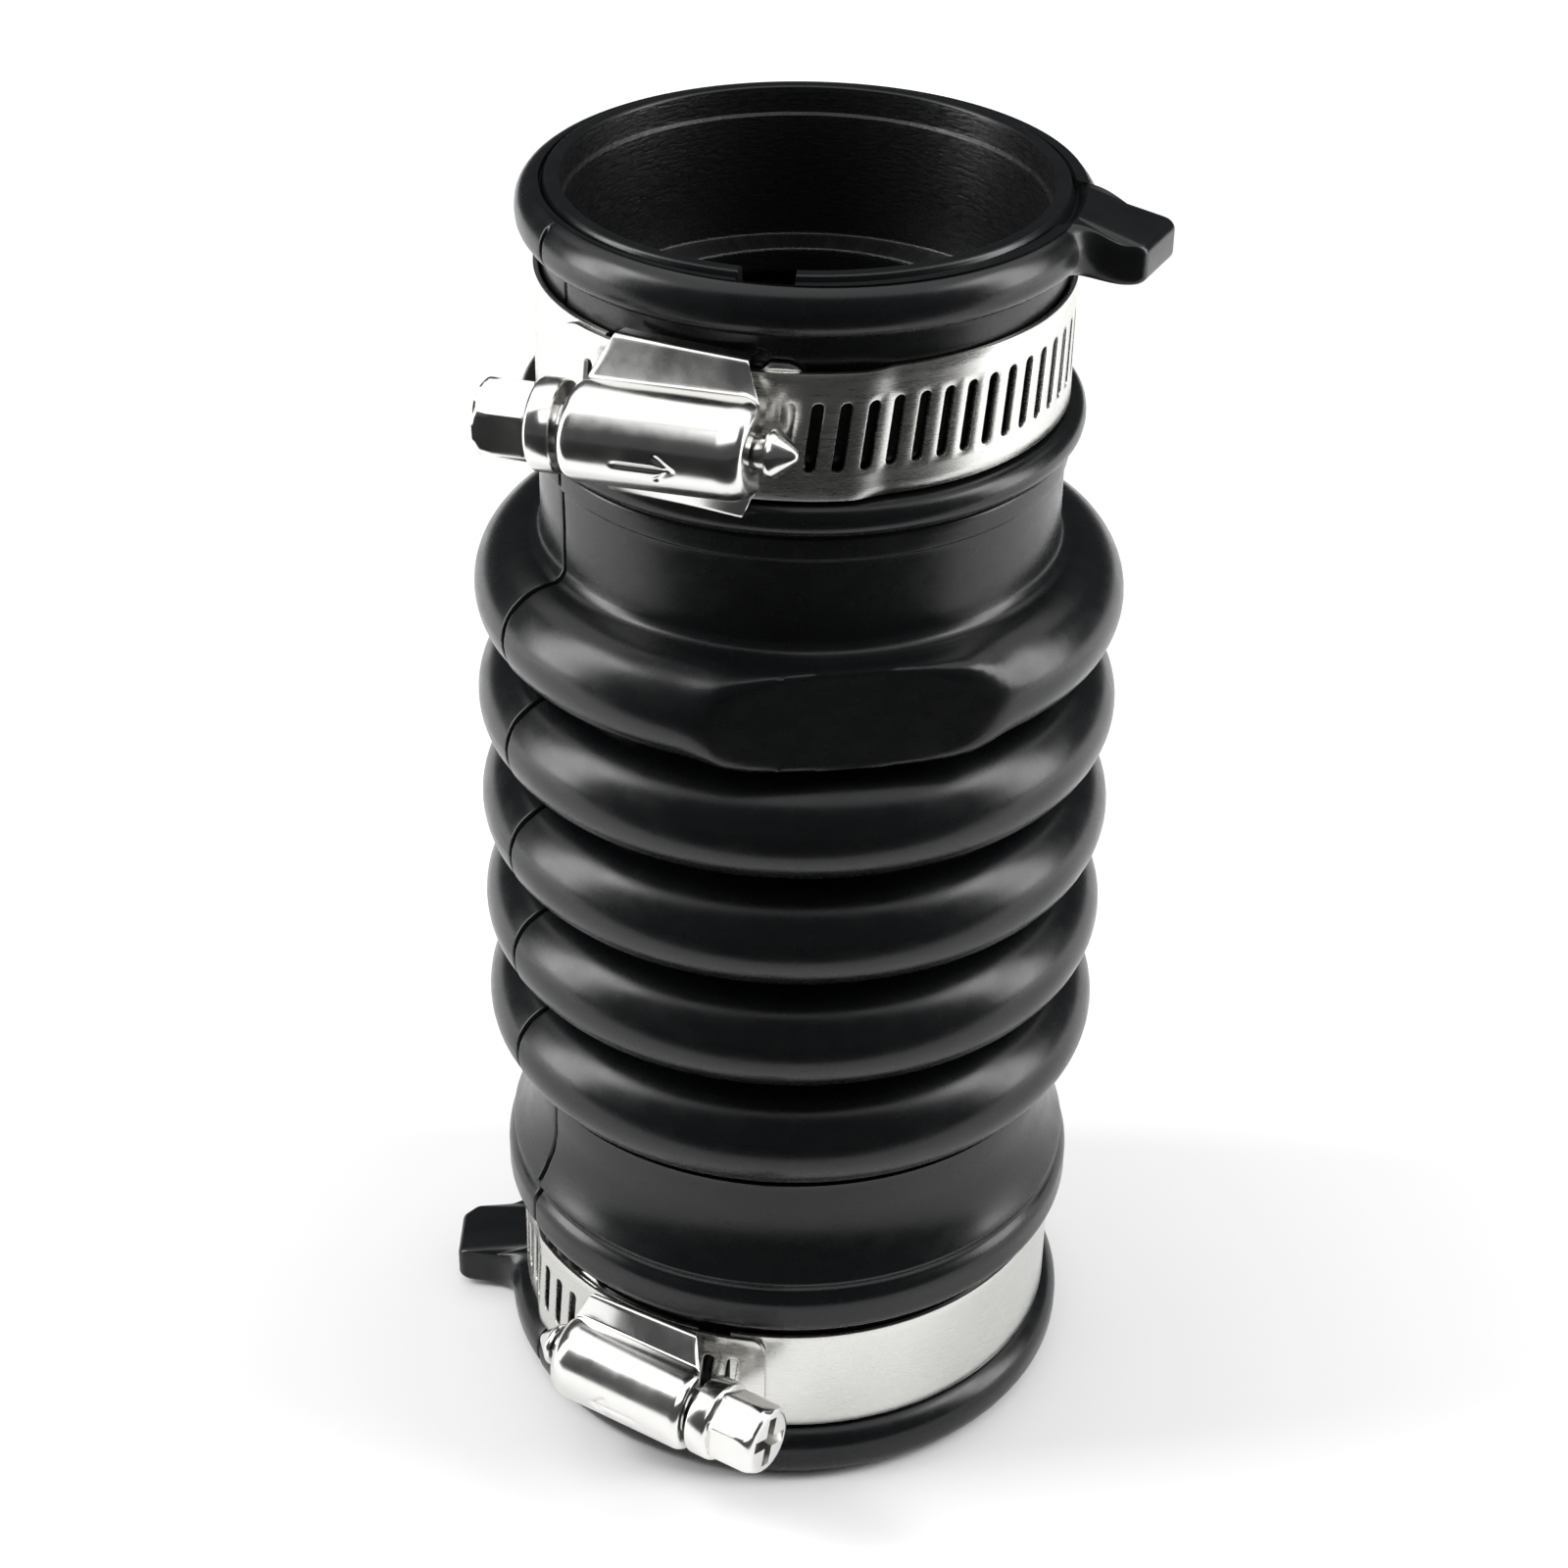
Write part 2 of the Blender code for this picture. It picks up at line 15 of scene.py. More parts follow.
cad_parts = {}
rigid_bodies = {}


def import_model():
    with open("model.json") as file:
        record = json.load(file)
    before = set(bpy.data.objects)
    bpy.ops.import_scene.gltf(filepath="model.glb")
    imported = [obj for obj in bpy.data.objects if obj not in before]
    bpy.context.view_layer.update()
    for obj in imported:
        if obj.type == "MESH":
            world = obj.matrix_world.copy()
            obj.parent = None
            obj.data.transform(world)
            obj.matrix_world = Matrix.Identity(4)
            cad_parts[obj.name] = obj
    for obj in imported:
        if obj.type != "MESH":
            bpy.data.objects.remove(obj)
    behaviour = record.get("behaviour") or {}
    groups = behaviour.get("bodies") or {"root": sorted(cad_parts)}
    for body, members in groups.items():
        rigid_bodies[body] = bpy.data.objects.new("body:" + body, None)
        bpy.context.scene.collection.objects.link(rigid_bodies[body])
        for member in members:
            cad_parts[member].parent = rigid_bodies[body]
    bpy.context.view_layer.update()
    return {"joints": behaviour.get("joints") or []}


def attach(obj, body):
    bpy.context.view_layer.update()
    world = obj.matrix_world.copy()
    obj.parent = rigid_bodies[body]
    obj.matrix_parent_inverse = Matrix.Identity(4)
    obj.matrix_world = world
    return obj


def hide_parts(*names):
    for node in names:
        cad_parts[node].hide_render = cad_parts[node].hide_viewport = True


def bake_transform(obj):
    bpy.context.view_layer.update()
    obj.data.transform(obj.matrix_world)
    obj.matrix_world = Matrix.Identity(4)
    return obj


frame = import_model()

MM = 0.001
JOINTS = {joint["name"]: joint for joint in frame["joints"]}
HOSE_AXIS = Vector(JOINTS["upper_clamp_swivel"]["pos_m"][:2])

# Rubber boot
CREST_R = 37.0
FOLD_R = 6.1
HOLLOW_R = 3.2
ROOT_R = 29.4
ROOT_BORE_R = 26.5
PITCH = 14.08
TOP_CREST_Z = 107.6
VALLEY_FILLET = 0.9
JOIN_GAP = 0.02  # at a valley bottom, between two lengths of the boot
SEAM_ANGLES = (-61.3, 118.7)
SEAM_DEPTH = 1.3
SEAM_WIDTH = 0.27
NOTCH = (-14.0, -2.3)
NOTCH_FLOOR_Z = 152.7
NOTCH_EDGE = 0.35
NOTCH_OUTER_R = 29.0  # only the inner lip is cut through
FLAT_ANGLE = 10.0
FLAT_OFFSET = 33.4
FLAT_WALL = 2.2
FLAT_SOFTNESS = 0.75
FLAT_REACH = 32.0
FLAT_FADE = 12.0
FLAT_POWER = 3.1
RIM_R = 31.2
RIM_TOP_Z = 155.8
LIP_BASE_Z = 149.0  # the rim's inner lip is above this height and inside LIP_R
LIP_R = 30.2
LIP_BLEND = 0.8
FOOT_R = 35.6
COLUMN_STEP = 2.0  # degrees
OUTLINE_STEP = 0.75
ROOT_INSIDE_R = ROOT_BORE_R + 4.1
HOLLOW_TIP_R = CREST_R - FOLD_R + HOLLOW_R
HOLLOW_FILLET = 3.1
SOCKET_R = 26.6  # what lies inside this radius, between these heights, is the socket's wall
SOCKET_LOW_Z, SOCKET_HIGH_Z = 125.0, 155.3

# Studio, in metres
FLOOR_RADIUS = 1.3
FLOOR_SIDES = 96
GLOW_START, GLOW_END = 0.28, 0.75  # distance at which the floor starts to glow, and glows in full
GLOW_STRENGTH = 0.9
WORLD_FILL = 0.06  # what the backdrop adds to the lamps
BACKDROP_STRENGTH = 1.05  # how bright the camera sees it
BACKDROP_COLOUR = (0.96, 0.98, 1.0, 1.0)
LAMP_TARGET = (0.0, 0.0, 0.08)
OVERHEAD = {"where": (0.0, 0.25, 1.15), "target": (0, 0.25, 0), "size": (2.4, 1.5), "power": 16.0}
FRONT_PANEL = {"where": (0.0, -0.66, 0.82), "target": LAMP_TARGET, "size": (1.2, 0.50), "power": 3.8}
SIDE_LAMP_X, SIDE_LAMP_Y, SIDE_LAMP_Z = 0.55, -0.03, 0.33
SIDE_LAMP_SIZE = (0.23, 0.62)
SIDE_LAMPS = {  # side, power on rubber and floor, power on steel
    "left": (-1, 4.4, 1.5),
    "right": (1, 3.6, 1.0),
}
FLAG_HALF_WIDTH = 1.2
FLAG_NEAR_Y, FLAG_FAR_Y = -0.115, -2.0
FLAG_HEIGHT = 0.001

# Clamps
BAND_HALF = 7.1
BAND_THICK = 0.6
BAND_GAP = 0.3
BAND_LIFT = 0.9
SLOT_PITCH = 2.85
SLOT_HALF_WIDTH = 0.62
SLOT_HALF_LENGTH = 3.9
SLOT_LEAN = 6.5
FIRST_SLOT = -4
LAST_SLOT = 22
TAIL_START = -5.5
TAIL_CORNER = 2.3
TAIL_STEPS = 7
LIFT_CELLS = 6.5
LIFT_RAMP_CELLS = 1.5
PLAIN_END_ARC = 10.2
SCREW_RISE = 4.5
SCREW_TILT = 5.6
SCREW_LEAN = 2.3
CLAMPS = {
    "upper": {
        "land": 28.5,
        "turned_over": False,
        "slot_phase": -1.9,
        "feet": (-0.3, 2.1),
        "flange": (8.9, 8.2),
        "saddle": (7.8, 6.9),
    },
    "lower": {
        "land": 32.8,
        "turned_over": True,
        "slot_phase": 2.0,
        "feet": (2.1, 1.5),
        "flange": (8.2, 8.2),
        "saddle": (6.9, 7.7),
    },
}


# ---------------------------------------------------------------- materials


def new_material(name, colour, roughness, metallic):
    material = bpy.data.materials.new(name)
    material.use_nodes = True
    shader = material.node_tree.nodes["Principled BSDF"]
    shader.inputs["Base Color"].default_value = (*colour, 1.0)
    shader.inputs["Roughness"].default_value = roughness
    shader.inputs["Metallic"].default_value = metallic
    return material, material.node_tree, shader


def add_node(tree, kind, **settings):
    node = tree.nodes.new(kind)
    for key, value in settings.items():
        if key in node.inputs:
            node.inputs[key].default_value = value
        else:
            setattr(node, key, value)
    return node


def maths(tree, operation, first, second=0.0):
    node = tree.nodes.new("ShaderNodeMath")
    node.operation = operation
    for socket, value in zip(node.inputs, (first, second)):
        if isinstance(value, (int, float)):
            socket.default_value = value
        else:
            tree.links.new(value, socket)
    return node.outputs[0]


def noise(tree, vector, scale, detail=3.0, rough=0.5):
    node = add_node(tree, "ShaderNodeTexNoise", Scale=scale, Detail=detail, Roughness=rough)
    tree.links.new(vector, node.inputs["Vector"])
    return node.outputs["Fac"]


def spread(tree, value, low, high, from_low=0.3, from_high=0.7):
    node = add_node(tree, "ShaderNodeMapRange")
    node.inputs["From Min"].default_value = from_low
    node.inputs["From Max"].default_value = from_high
    node.inputs["To Min"].default_value = low
    node.inputs["To Max"].default_value = high
    tree.links.new(value, node.inputs["Value"])
    return node.outputs["Result"]


def paint(tree, shader, factor, first, second):
    """A colour that runs between two shades with a factor."""
    node = add_node(tree, "ShaderNodeMix", data_type="RGBA")
    colours = [socket for socket in node.inputs if socket.type == "RGBA"]
    colours[0].default_value = (*first, 1.0)
    colours[1].default_value = (*second, 1.0)
    tree.links.new(factor, node.inputs["Factor"])
    mixed = [socket for socket in node.outputs if socket.type == "RGBA"][0]
    tree.links.new(mixed, shader.inputs["Base Color"])


def roughen(tree, shader, value, low, high):
    tree.links.new(spread(tree, value, low, high), shader.inputs["Roughness"])


def place(tree):
    return add_node(tree, "ShaderNodeTexCoord").outputs["Object"]


def around_axis(tree, turns_scale, height_scale):
    """Coordinates that run round the hose axis, for streaks that follow the circumference."""
    parts = add_node(tree, "ShaderNodeSeparateXYZ")
    tree.links.new(place(tree), parts.inputs[0])
    x = maths(tree, "SUBTRACT", parts.outputs["X"], HOSE_AXIS.x)
    y = maths(tree, "SUBTRACT", parts.outputs["Y"], HOSE_AXIS.y)
    turn = maths(tree, "MULTIPLY", maths(tree, "ARCTAN2", x, y), turns_scale)
    height = maths(tree, "MULTIPLY", parts.outputs["Z"], height_scale)
    joined = add_node(tree, "ShaderNodeCombineXYZ")
    tree.links.new(turn, joined.inputs["X"])
    tree.links.new(height, joined.inputs["Y"])
    return joined.outputs[0]


def bump(tree, shader, height, strength, distance, under=None):
    node = add_node(tree, "ShaderNodeBump", Strength=strength, Distance=distance)
    tree.links.new(height, node.inputs["Height"])
    if under is not None:
        tree.links.new(under, node.inputs["Normal"])
    tree.links.new(node.outputs["Normal"], shader.inputs["Normal"])
    return node.outputs["Normal"]


def make_rubber():
    """Satin black moulded rubber: fine grain, faint ripples and a slightly uneven sheen."""
    material, tree, shader = new_material("satin_rubber", (0.012, 0.013, 0.014), 0.38, 0.0)
    where = place(tree)
    cloudy = noise(tree, where, 45.0)
    paint(tree, shader, cloudy, (0.0030, 0.0034, 0.0038), (0.0055, 0.0061, 0.0067))
    streaks = noise(tree, around_axis(tree, 9.0, 420.0), 1.0, 4.0)
    roughen(tree, shader, streaks, 0.23, 0.31)
    ripples = bump(tree, shader, noise(tree, where, 120.0, 1.0), 0.10, 0.00006)
    bump(tree, shader, noise(tree, where, 4200.0, 2.0), 0.12, 0.00003, ripples)
    shader.inputs["Specular IOR Level"].default_value = 0.36
    return material


def make_bore_rubber():
    """The inside of the socket, glossier and with drawn streaks round it."""
    material, tree, shader = new_material("socket_rubber", (0.008, 0.008, 0.0085), 0.3, 0.0)
    streaks = noise(tree, around_axis(tree, 16.0, 2600.0), 1.0, 5.0, 0.65)
    roughen(tree, shader, streaks, 0.16, 0.42)
    paint(tree, shader, streaks, (0.006, 0.006, 0.0065), (0.012, 0.0125, 0.013))
    bump(tree, shader, streaks, 0.8, 0.00016)
    return material


def make_band_steel():
    """Rolled stainless strip: a soft grain along its length and a few rubbed patches."""
    material, tree, shader = new_material("rolled_steel", (0.74, 0.73, 0.70), 0.24, 1.0)
    grain = noise(tree, around_axis(tree, 7.0, 5200.0), 1.0, 4.0, 0.6)
    patches = noise(tree, place(tree), 120.0, 3.0)
    both = maths(tree, "ADD", maths(tree, "MULTIPLY", grain, 0.6), maths(tree, "MULTIPLY", patches, 0.4))
    roughen(tree, shader, both, 0.22, 0.34)
    paint(tree, shader, patches, (0.64, 0.635, 0.61), (0.73, 0.725, 0.705))
    bump(tree, shader, grain, 0.12, 0.00002)
    return material


def make_bright_steel():
    """Bright pressed stainless: close to a mirror, with press marks and hairline scratches."""
    material, tree, shader = new_material("bright_steel", (0.86, 0.85, 0.83), 0.1, 1.0)
    where = place(tree)
    smears = noise(tree, where, 210.0, 4.0, 0.6)
    roughen(tree, shader, smears, 0.14, 0.24)
    paint(tree, shader, smears, (0.74, 0.735, 0.715), (0.84, 0.835, 0.82))
    marks = bump(tree, shader, noise(tree, where, 330.0, 1.5), 0.18, 0.00008)
    bump(tree, shader, noise(tree, where, 2600.0, 3.0, 0.7), 0.06, 0.00002, marks)
    return material


def make_floor_material():
    material, tree, shader = new_material("floor_paint", (0.9, 0.9, 0.9), 0.6, 0.0)
    mottled = noise(tree, place(tree), 30.0)
    paint(tree, shader, mottled, (0.89, 0.89, 0.89), (0.91, 0.91, 0.91))
    shader.inputs["Specular IOR Level"].default_value = 0.1
    # The sweep stays white towards its edge, where the lamps no longer reach.
    distance = add_node(tree, "ShaderNodeVectorMath", operation="LENGTH")
    tree.links.new(place(tree), distance.inputs[0])
    glow = spread(tree, distance.outputs["Value"], 0.0, GLOW_STRENGTH, GLOW_START, GLOW_END)
    tree.links.new(glow, shader.inputs["Emission Strength"])
    shader.inputs["Emission Color"].default_value = (1.0, 1.0, 1.0, 1.0)
    return material


RUBBER = make_rubber()
BORE_RUBBER = make_bore_rubber()
BAND_STEEL = make_band_steel()
BRIGHT_STEEL = make_bright_steel()


# ---------------------------------------------------------------- mesh helpers


def unit(vectors):
    lengths = np.linalg.norm(vectors, axis=-1, keepdims=True)
    return vectors / np.maximum(lengths, 1e-12)


def corner_arc(before, corner, after, fillet, steps):
    """A circular arc that rounds a corner, in every column at once."""
    first, second = unit(before - corner), unit(after - corner)
    half = np.arccos(np.clip((first * second).sum(-1), -0.99999, 0.99999)) / 2
    reach = (fillet / np.tan(half))[:, None]
    start, end = corner + first * reach, corner + second * reach
    weight = np.sin(half)[:, None]
    points = []
    for step in range(steps + 1):
        t = step / steps
        a, b, c = (1 - t) ** 2, 2 * t * (1 - t) * weight, t * t
        points.append((a * start + b * corner + c * end) / (a + b + c))
    return points


def round_outline(table, spacing, closed=True):
    """Round every corner of an outline.

    table holds one outline for each column, as rows of coordinates with the fillet last. Every
    column gets the same number of points. Returns the points and the corner each belongs to.
    """
    count = table.shape[1]
    places, fillets = table[..., :-1], table[..., -1]
    points, owners = [], []
    for index in range(count):
        is_end = not closed and index in (0, count - 1)
        corner = places[:, index]
        if is_end or fillets[:, index].max() <= 0:
            arc = [corner]
        else:
            before, after = places[:, index - 1], places[:, (index + 1) % count]
            turn = (unit(corner[:1] - before[:1]) * unit(after[:1] - corner[:1])).sum()
            bend = np.arccos(np.clip(turn, -1, 1))
            steps = max(4, int(np.ceil(bend * fillets[0, index] / spacing)))
            arc = corner_arc(before, corner, after, fillets[:, index], steps)
        if points:
            points += straight(points[-1], arc[0], spacing)
            owners += [owners[-1]] * (len(points) - len(owners))
        points += arc
        owners += [index] * len(arc)
    if closed:
        points += straight(points[-1], points[0], spacing)
        owners += [owners[-1]] * (len(points) - len(owners))
    return np.stack(points, axis=1), np.array(owners)


def straight(start, end, spacing):
    length = np.linalg.norm(end[0] - start[0])
    steps = int(np.ceil(length / spacing))
    return [start + (end - start) * (step / steps) for step in range(1, steps)]


def grid_faces(columns, rows, wrap_columns, wrap_rows):
    faces = []
    for column in range(columns if wrap_columns else columns - 1):
        near, far = column * rows, ((column + 1) % columns) * rows
        for row in range(rows if wrap_rows else rows - 1):
            after = (row + 1) % rows
            faces.append((near + row, far + row, far + after, near + after))
    return faces


def make_piece(name, points, faces, material, smooth_angle=40.0):
    """A closed, smooth-shaded object in the row frame, from points in millimetres."""
    mesh = bpy.data.meshes.new(name)
    mesh.from_pydata((np.asarray(points, float) * MM).tolist(), [], faces)
    bm = bmesh.new()
    bm.from_mesh(mesh)
    bmesh.ops.remove_doubles(bm, verts=bm.verts, dist=0.002 * MM)
    bmesh.ops.dissolve_degenerate(bm, edges=bm.edges, dist=0.001 * MM)
    bmesh.ops.recalc_face_normals(bm, faces=bm.faces)
    bm.to_mesh(mesh)
    bm.free()
    mesh.shade_smooth()
    mesh.set_sharp_from_angle(angle=radians(smooth_angle))
    piece = bpy.data.objects.new(name, mesh)
    bpy.context.scene.collection.objects.link(piece)
    mesh.materials.append(material)
    return piece


def smooth_step(value):
    value = np.clip(value, 0, 1)
    return value * value * (3 - 2 * value)


def soft_excess(excess, softness):
    """How far a point lies past a limit, with a rounded start."""
    return np.where(
        excess > softness,
        excess,
        np.where(excess < -softness, 0.0, (excess + softness) ** 2 / (4 * softness)),
    )


# ---------------------------------------------------------------- rubber boot


def fold_outside(crest_z):
    return [
        (CREST_R, crest_z - FOLD_R, FOLD_R),
        (CREST_R, crest_z + FOLD_R, FOLD_R),
    ]


def fold_inside(crest_z):
    """Hollow of a fold, from its top to its bottom."""
    return [
        (ROOT_INSIDE_R, crest_z + HOLLOW_R, 0.8),
        (HOLLOW_TIP_R, crest_z + HOLLOW_R, HOLLOW_FILLET),
        (HOLLOW_TIP_R, crest_z - HOLLOW_R, HOLLOW_FILLET),
        (ROOT_INSIDE_R, crest_z - HOLLOW_R, 0.8),
    ]


def crest(number):
    """Height of a fold's crest. Fold 1 is the top one."""
    return TOP_CREST_Z - (number - 1) * PITCH


def valley_corners(z, half=0):
    """Outside of a valley between two folds, or only its upper (1) or lower (-1) half."""
    below = (ROOT_R, z - PITCH / 2 + FOLD_R, VALLEY_FILLET)
    above = (ROOT_R, z + PITCH / 2 - FOLD_R, VALLEY_FILLET)
    if half > 0:
        return [(ROOT_R, z + JOIN_GAP / 2, 0), above]
    if half < 0:
        return [below, (ROOT_R, z - JOIN_GAP / 2, 0)]
    return [below, above]


def boot_columns(dense_spots):
    """Angles of the columns: an even spread, and closer near the spots."""
    angles = set(np.arange(-180, 180, COLUMN_STEP).round(3).tolist())
    for low, high, step in dense_spots:
        angles |= set(np.arange(low, high + step / 2, step).round(3).tolist())
    ordered = sorted(angles)
    kept = [ordered[0]]
    for angle in ordered[1:]:
        if angle - kept[-1] > 0.06:
            kept.append(angle)
    return np.array(kept)


SEAM_SPOTS = [(angle - 1.2, angle + 1.2, 0.12) for angle in SEAM_ANGLES]


def press_seams(points, normals, angles, outside):
    """The mould's parting line: a fine groove down the boot, with a small step beside it."""
    radius = np.hypot(points[..., 0], points[..., 1])
    for side, seam in enumerate(SEAM_ANGLES):
        z = points[..., 2]
        wander = 0.10 * np.sin(z * 0.9 + side) + 0.07 * np.sin(z * 2.3 + 1.7)
        offset = (angles[:, None] - seam - wander + 180) % 360 - 180
        across = np.radians(offset) * radius
        depth = SEAM_DEPTH * (0.8 + 0.2 * np.sin(z * 1.3))
        groove = depth * np.exp(-((across / SEAM_WIDTH) ** 2))
        step = np.where(across < 0, 0.16 * np.exp(across / 3.0), 0.0)
        on_lip = (z > LIP_BASE_Z) * (1 - smooth_step((radius - LIP_R) / LIP_BLEND))
        points -= normals * ((groove + step) * outside * (1 - on_lip))[..., None]
    return points


def revolve_boot(name, corners, last_outside, spots, reshape=None, press=None):
    """Turn a section round the hose axis. reshape changes it by angle, and press dents the result."""
    angles = boot_columns(spots)
    table = np.tile(np.array(corners, float), (len(angles), 1, 1))
    if reshape:
        reshape(table, angles)
    outline, owners = round_outline(table, OUTLINE_STEP)
    radius, z = outline[..., 0], outline[..., 1]
    turn = np.radians(angles)[:, None]
    points = np.stack([radius * np.sin(turn), -radius * np.cos(turn), z], axis=-1)
    tangent = np.roll(outline, -1, axis=1) - np.roll(outline, 1, axis=1)
    tangent = unit(tangent)
    out, up = tangent[..., 1], -tangent[..., 0]
    normals = np.stack([out * np.sin(turn), -out * np.cos(turn), up], axis=-1)
    outside = (owners <= last_outside)[None, :] & (owners > 0)[None, :]
    points = press_seams(points, normals, angles, outside)
    if press:
        press(points, angles, outside)
    columns, rows = radius.shape
    points = points.reshape(-1, 3) + np.array([*(HOSE_AXIS / MM), 0.0])
    faces = grid_faces(columns, rows, True, True)
    return make_piece(name, points, faces, RUBBER, 50.0)


def tab_reach(angles, plan, body_radius):
    """Radius of a rim at each angle where a tab grows from it, from the tab's plan."""
    outline, _ = round_outline(np.array([plan], float), 0.12, closed=False)
    x, y = outline[0, :, 0], outline[0, :, 1]
    turn = np.degrees(np.arctan2(x, -y))
    order = np.argsort(turn)
    reach = np.interp(angles, turn[order], np.hypot(x, y)[order], left=0, right=0)
    return np.maximum(reach, body_radius)


def on_circle(radius, angle, fillet=0.0):
    return (radius * sin(radians(angle)), -radius * cos(radians(angle)), fillet)


UPPER_TAB_PLAN = [
    on_circle(RIM_R, 57.0),
    on_circle(RIM_R - 0.1, 66.0, 4.0),
    (35.2, -12.4, 1.3),
    (39.3, -4.1, 1.3),
    on_circle(RIM_R - 0.1, 89.5, 2.5),
    on_circle(RIM_R, 97.0),
]
LOWER_TAB_PLAN = [
    on_circle(FOOT_R, -74.0),
    (-35.8, -1.4, 4.2),
    (-43.0, -0.4, 1.2),
    (-43.0, 7.4, 0.8),
    (-41.6, 9.0, 0.8),
    (-35.6, 9.7, 2.5),
    on_circle(FOOT_R, -114.0),
]


def upper_corners():
    rim = [
        (28.5, 149.7, 0.35),
        (RIM_R, 149.7, 2.4),
        (RIM_R, 155.35, 2.6),
        (29.0, 155.35, 0.3),
        (28.35, 154.2, 0.2),
        (27.95, RIM_TOP_Z, 0.3),
        (26.35, RIM_TOP_Z, 0.3),
    ]
    outside = [
        *valley_corners(crest(1) - PITCH / 2, 1),
        *fold_outside(crest(1)),
        (29.3, crest(1) + FOLD_R, 1.55),
        (29.3, 124.7, 0.3),
        (29.7, 124.95, 0.3),
        (29.7, 127.25, 0.3),
        (29.35, 127.5, 0.15),
        (29.35, 128.0, 0.3),
        (31.25, 128.0, 1.55),
        (31.25, 131.6, 1.6),
        (28.5, 131.6, 0.35),
        *rim,
    ]
    inside = [
        (26.35, 152.8, 0.1),
        (26.0, 152.5, 0.1),
        (26.0, 138.2, 0.3),
        (21.6, 138.2, 0.35),
        (21.6, 135.4, 0.35),
        (26.1, 132.4, 1.0),
        (26.5, crest(1) + 7.2, 1.0),
        *fold_inside(crest(1)),
        (ROOT_BORE_R, crest(1) - PITCH / 2 + JOIN_GAP / 2, 0),
    ]
    return outside + inside, len(outside)


def shape_upper_rim(table, angles):
    """Grow the tab out of the bead, and widen the groove inside the bead towards the tab."""
    count = upper_corners()[1]
    under, over, groove_out, groove = count - 6, count - 5, count - 4, count - 3
    reach = tab_reach(angles, UPPER_TAB_PLAN, RIM_R)
    grown = smooth_step((reach - RIM_R) / 5.0)
    table[:, under, 0] = reach
    table[:, over, 0] = reach
    table[:, under, 1] -= 1.1 * grown
    table[:, over, 1] -= 2.5 * grown
    table[:, under, 2] -= 1.4 * grown
    table[:, over, 2] -= 1.5 * grown
    towards_tab = (1 + np.cos(np.radians(angles - 78.0))) / 2
    table[:, groove_out, 0] += 0.75 * towards_tab**2
    table[:, groove, 0] += 0.25 * towards_tab**2


def square_section(points, angles, outside):
    """Fill out the shoulders of the first fold where the flat is, so that the flat is oblong."""
    radius = np.hypot(points[..., 0], points[..., 1])
    out = radius - (CREST_R - FOLD_R)
    up = points[..., 2] - TOP_CREST_Z
    distance = np.hypot(out, up)
    around = np.abs(angles - FLAT_ANGLE)[:, None]
    weight = smooth_step((FLAT_REACH - around) / FLAT_FADE) * outside
    weight = weight * (out > 0) * (distance < FOLD_R + 0.5)
    across, along = np.maximum(out, 0) / distance, np.abs(up) / distance
    fullness = (across**FLAT_POWER + along**FLAT_POWER) ** (-1 / FLAT_POWER) - 1
    grow = 1 + weight * fullness
    scale = (CREST_R - FOLD_R + out * grow) / radius
    points[..., 0] *= np.where(weight > 0, scale, 1.0)
    points[..., 1] *= np.where(weight > 0, scale, 1.0)
    points[..., 2] += np.where(weight > 0, up * (grow - 1), 0.0)


def press_upper(points, angles, outside):
    """The flat on the first fold, and the gap in the rim."""
    square_section(points, angles, outside)
    normal = np.array([sin(radians(FLAT_ANGLE)), -cos(radians(FLAT_ANGLE)), 0.0])
    limit = np.where(outside, FLAT_OFFSET, FLAT_OFFSET - FLAT_WALL)
    on_fold = points[..., 2] < TOP_CREST_Z + PITCH / 2
    excess = soft_excess(points @ normal - limit, FLAT_SOFTNESS)
    points -= normal * (excess * on_fold)[..., None]
    left, right = NOTCH
    inside = smooth_step((angles - left) / NOTCH_EDGE + 0.5)
    inside *= smooth_step((right - angles) / NOTCH_EDGE + 0.5)
    radius = np.hypot(points[..., 0], points[..., 1])
    in_lip = smooth_step((NOTCH_OUTER_R - radius) / 0.5)
    clear = RIM_TOP_Z + 0.1
    ceiling = clear - (clear - NOTCH_FLOOR_Z) * inside[:, None] * in_lip
    points[..., 2] = np.minimum(points[..., 2], ceiling)


def middle_corners():
    top = crest(2) + PITCH / 2
    bottom = crest(4) - PITCH / 2
    outside = [
        *valley_corners(bottom, 1),
        *fold_outside(crest(4)),
        *valley_corners(crest(4) + PITCH / 2),
        *fold_outside(crest(3)),
        *valley_corners(crest(3) + PITCH / 2),
        *fold_outside(crest(2)),
        *valley_corners(top, -1),
    ]
    inside = [
        (ROOT_BORE_R, top - JOIN_GAP / 2, 0),
        *fold_inside(crest(2)),
        (ROOT_BORE_R, crest(2) - PITCH / 2, 0.8),
        *fold_inside(crest(3)),
        (ROOT_BORE_R, crest(3) - PITCH / 2, 0.8),
        *fold_inside(crest(4)),
        (ROOT_BORE_R, bottom + JOIN_GAP / 2, 0),
    ]
    return outside + inside, len(outside)


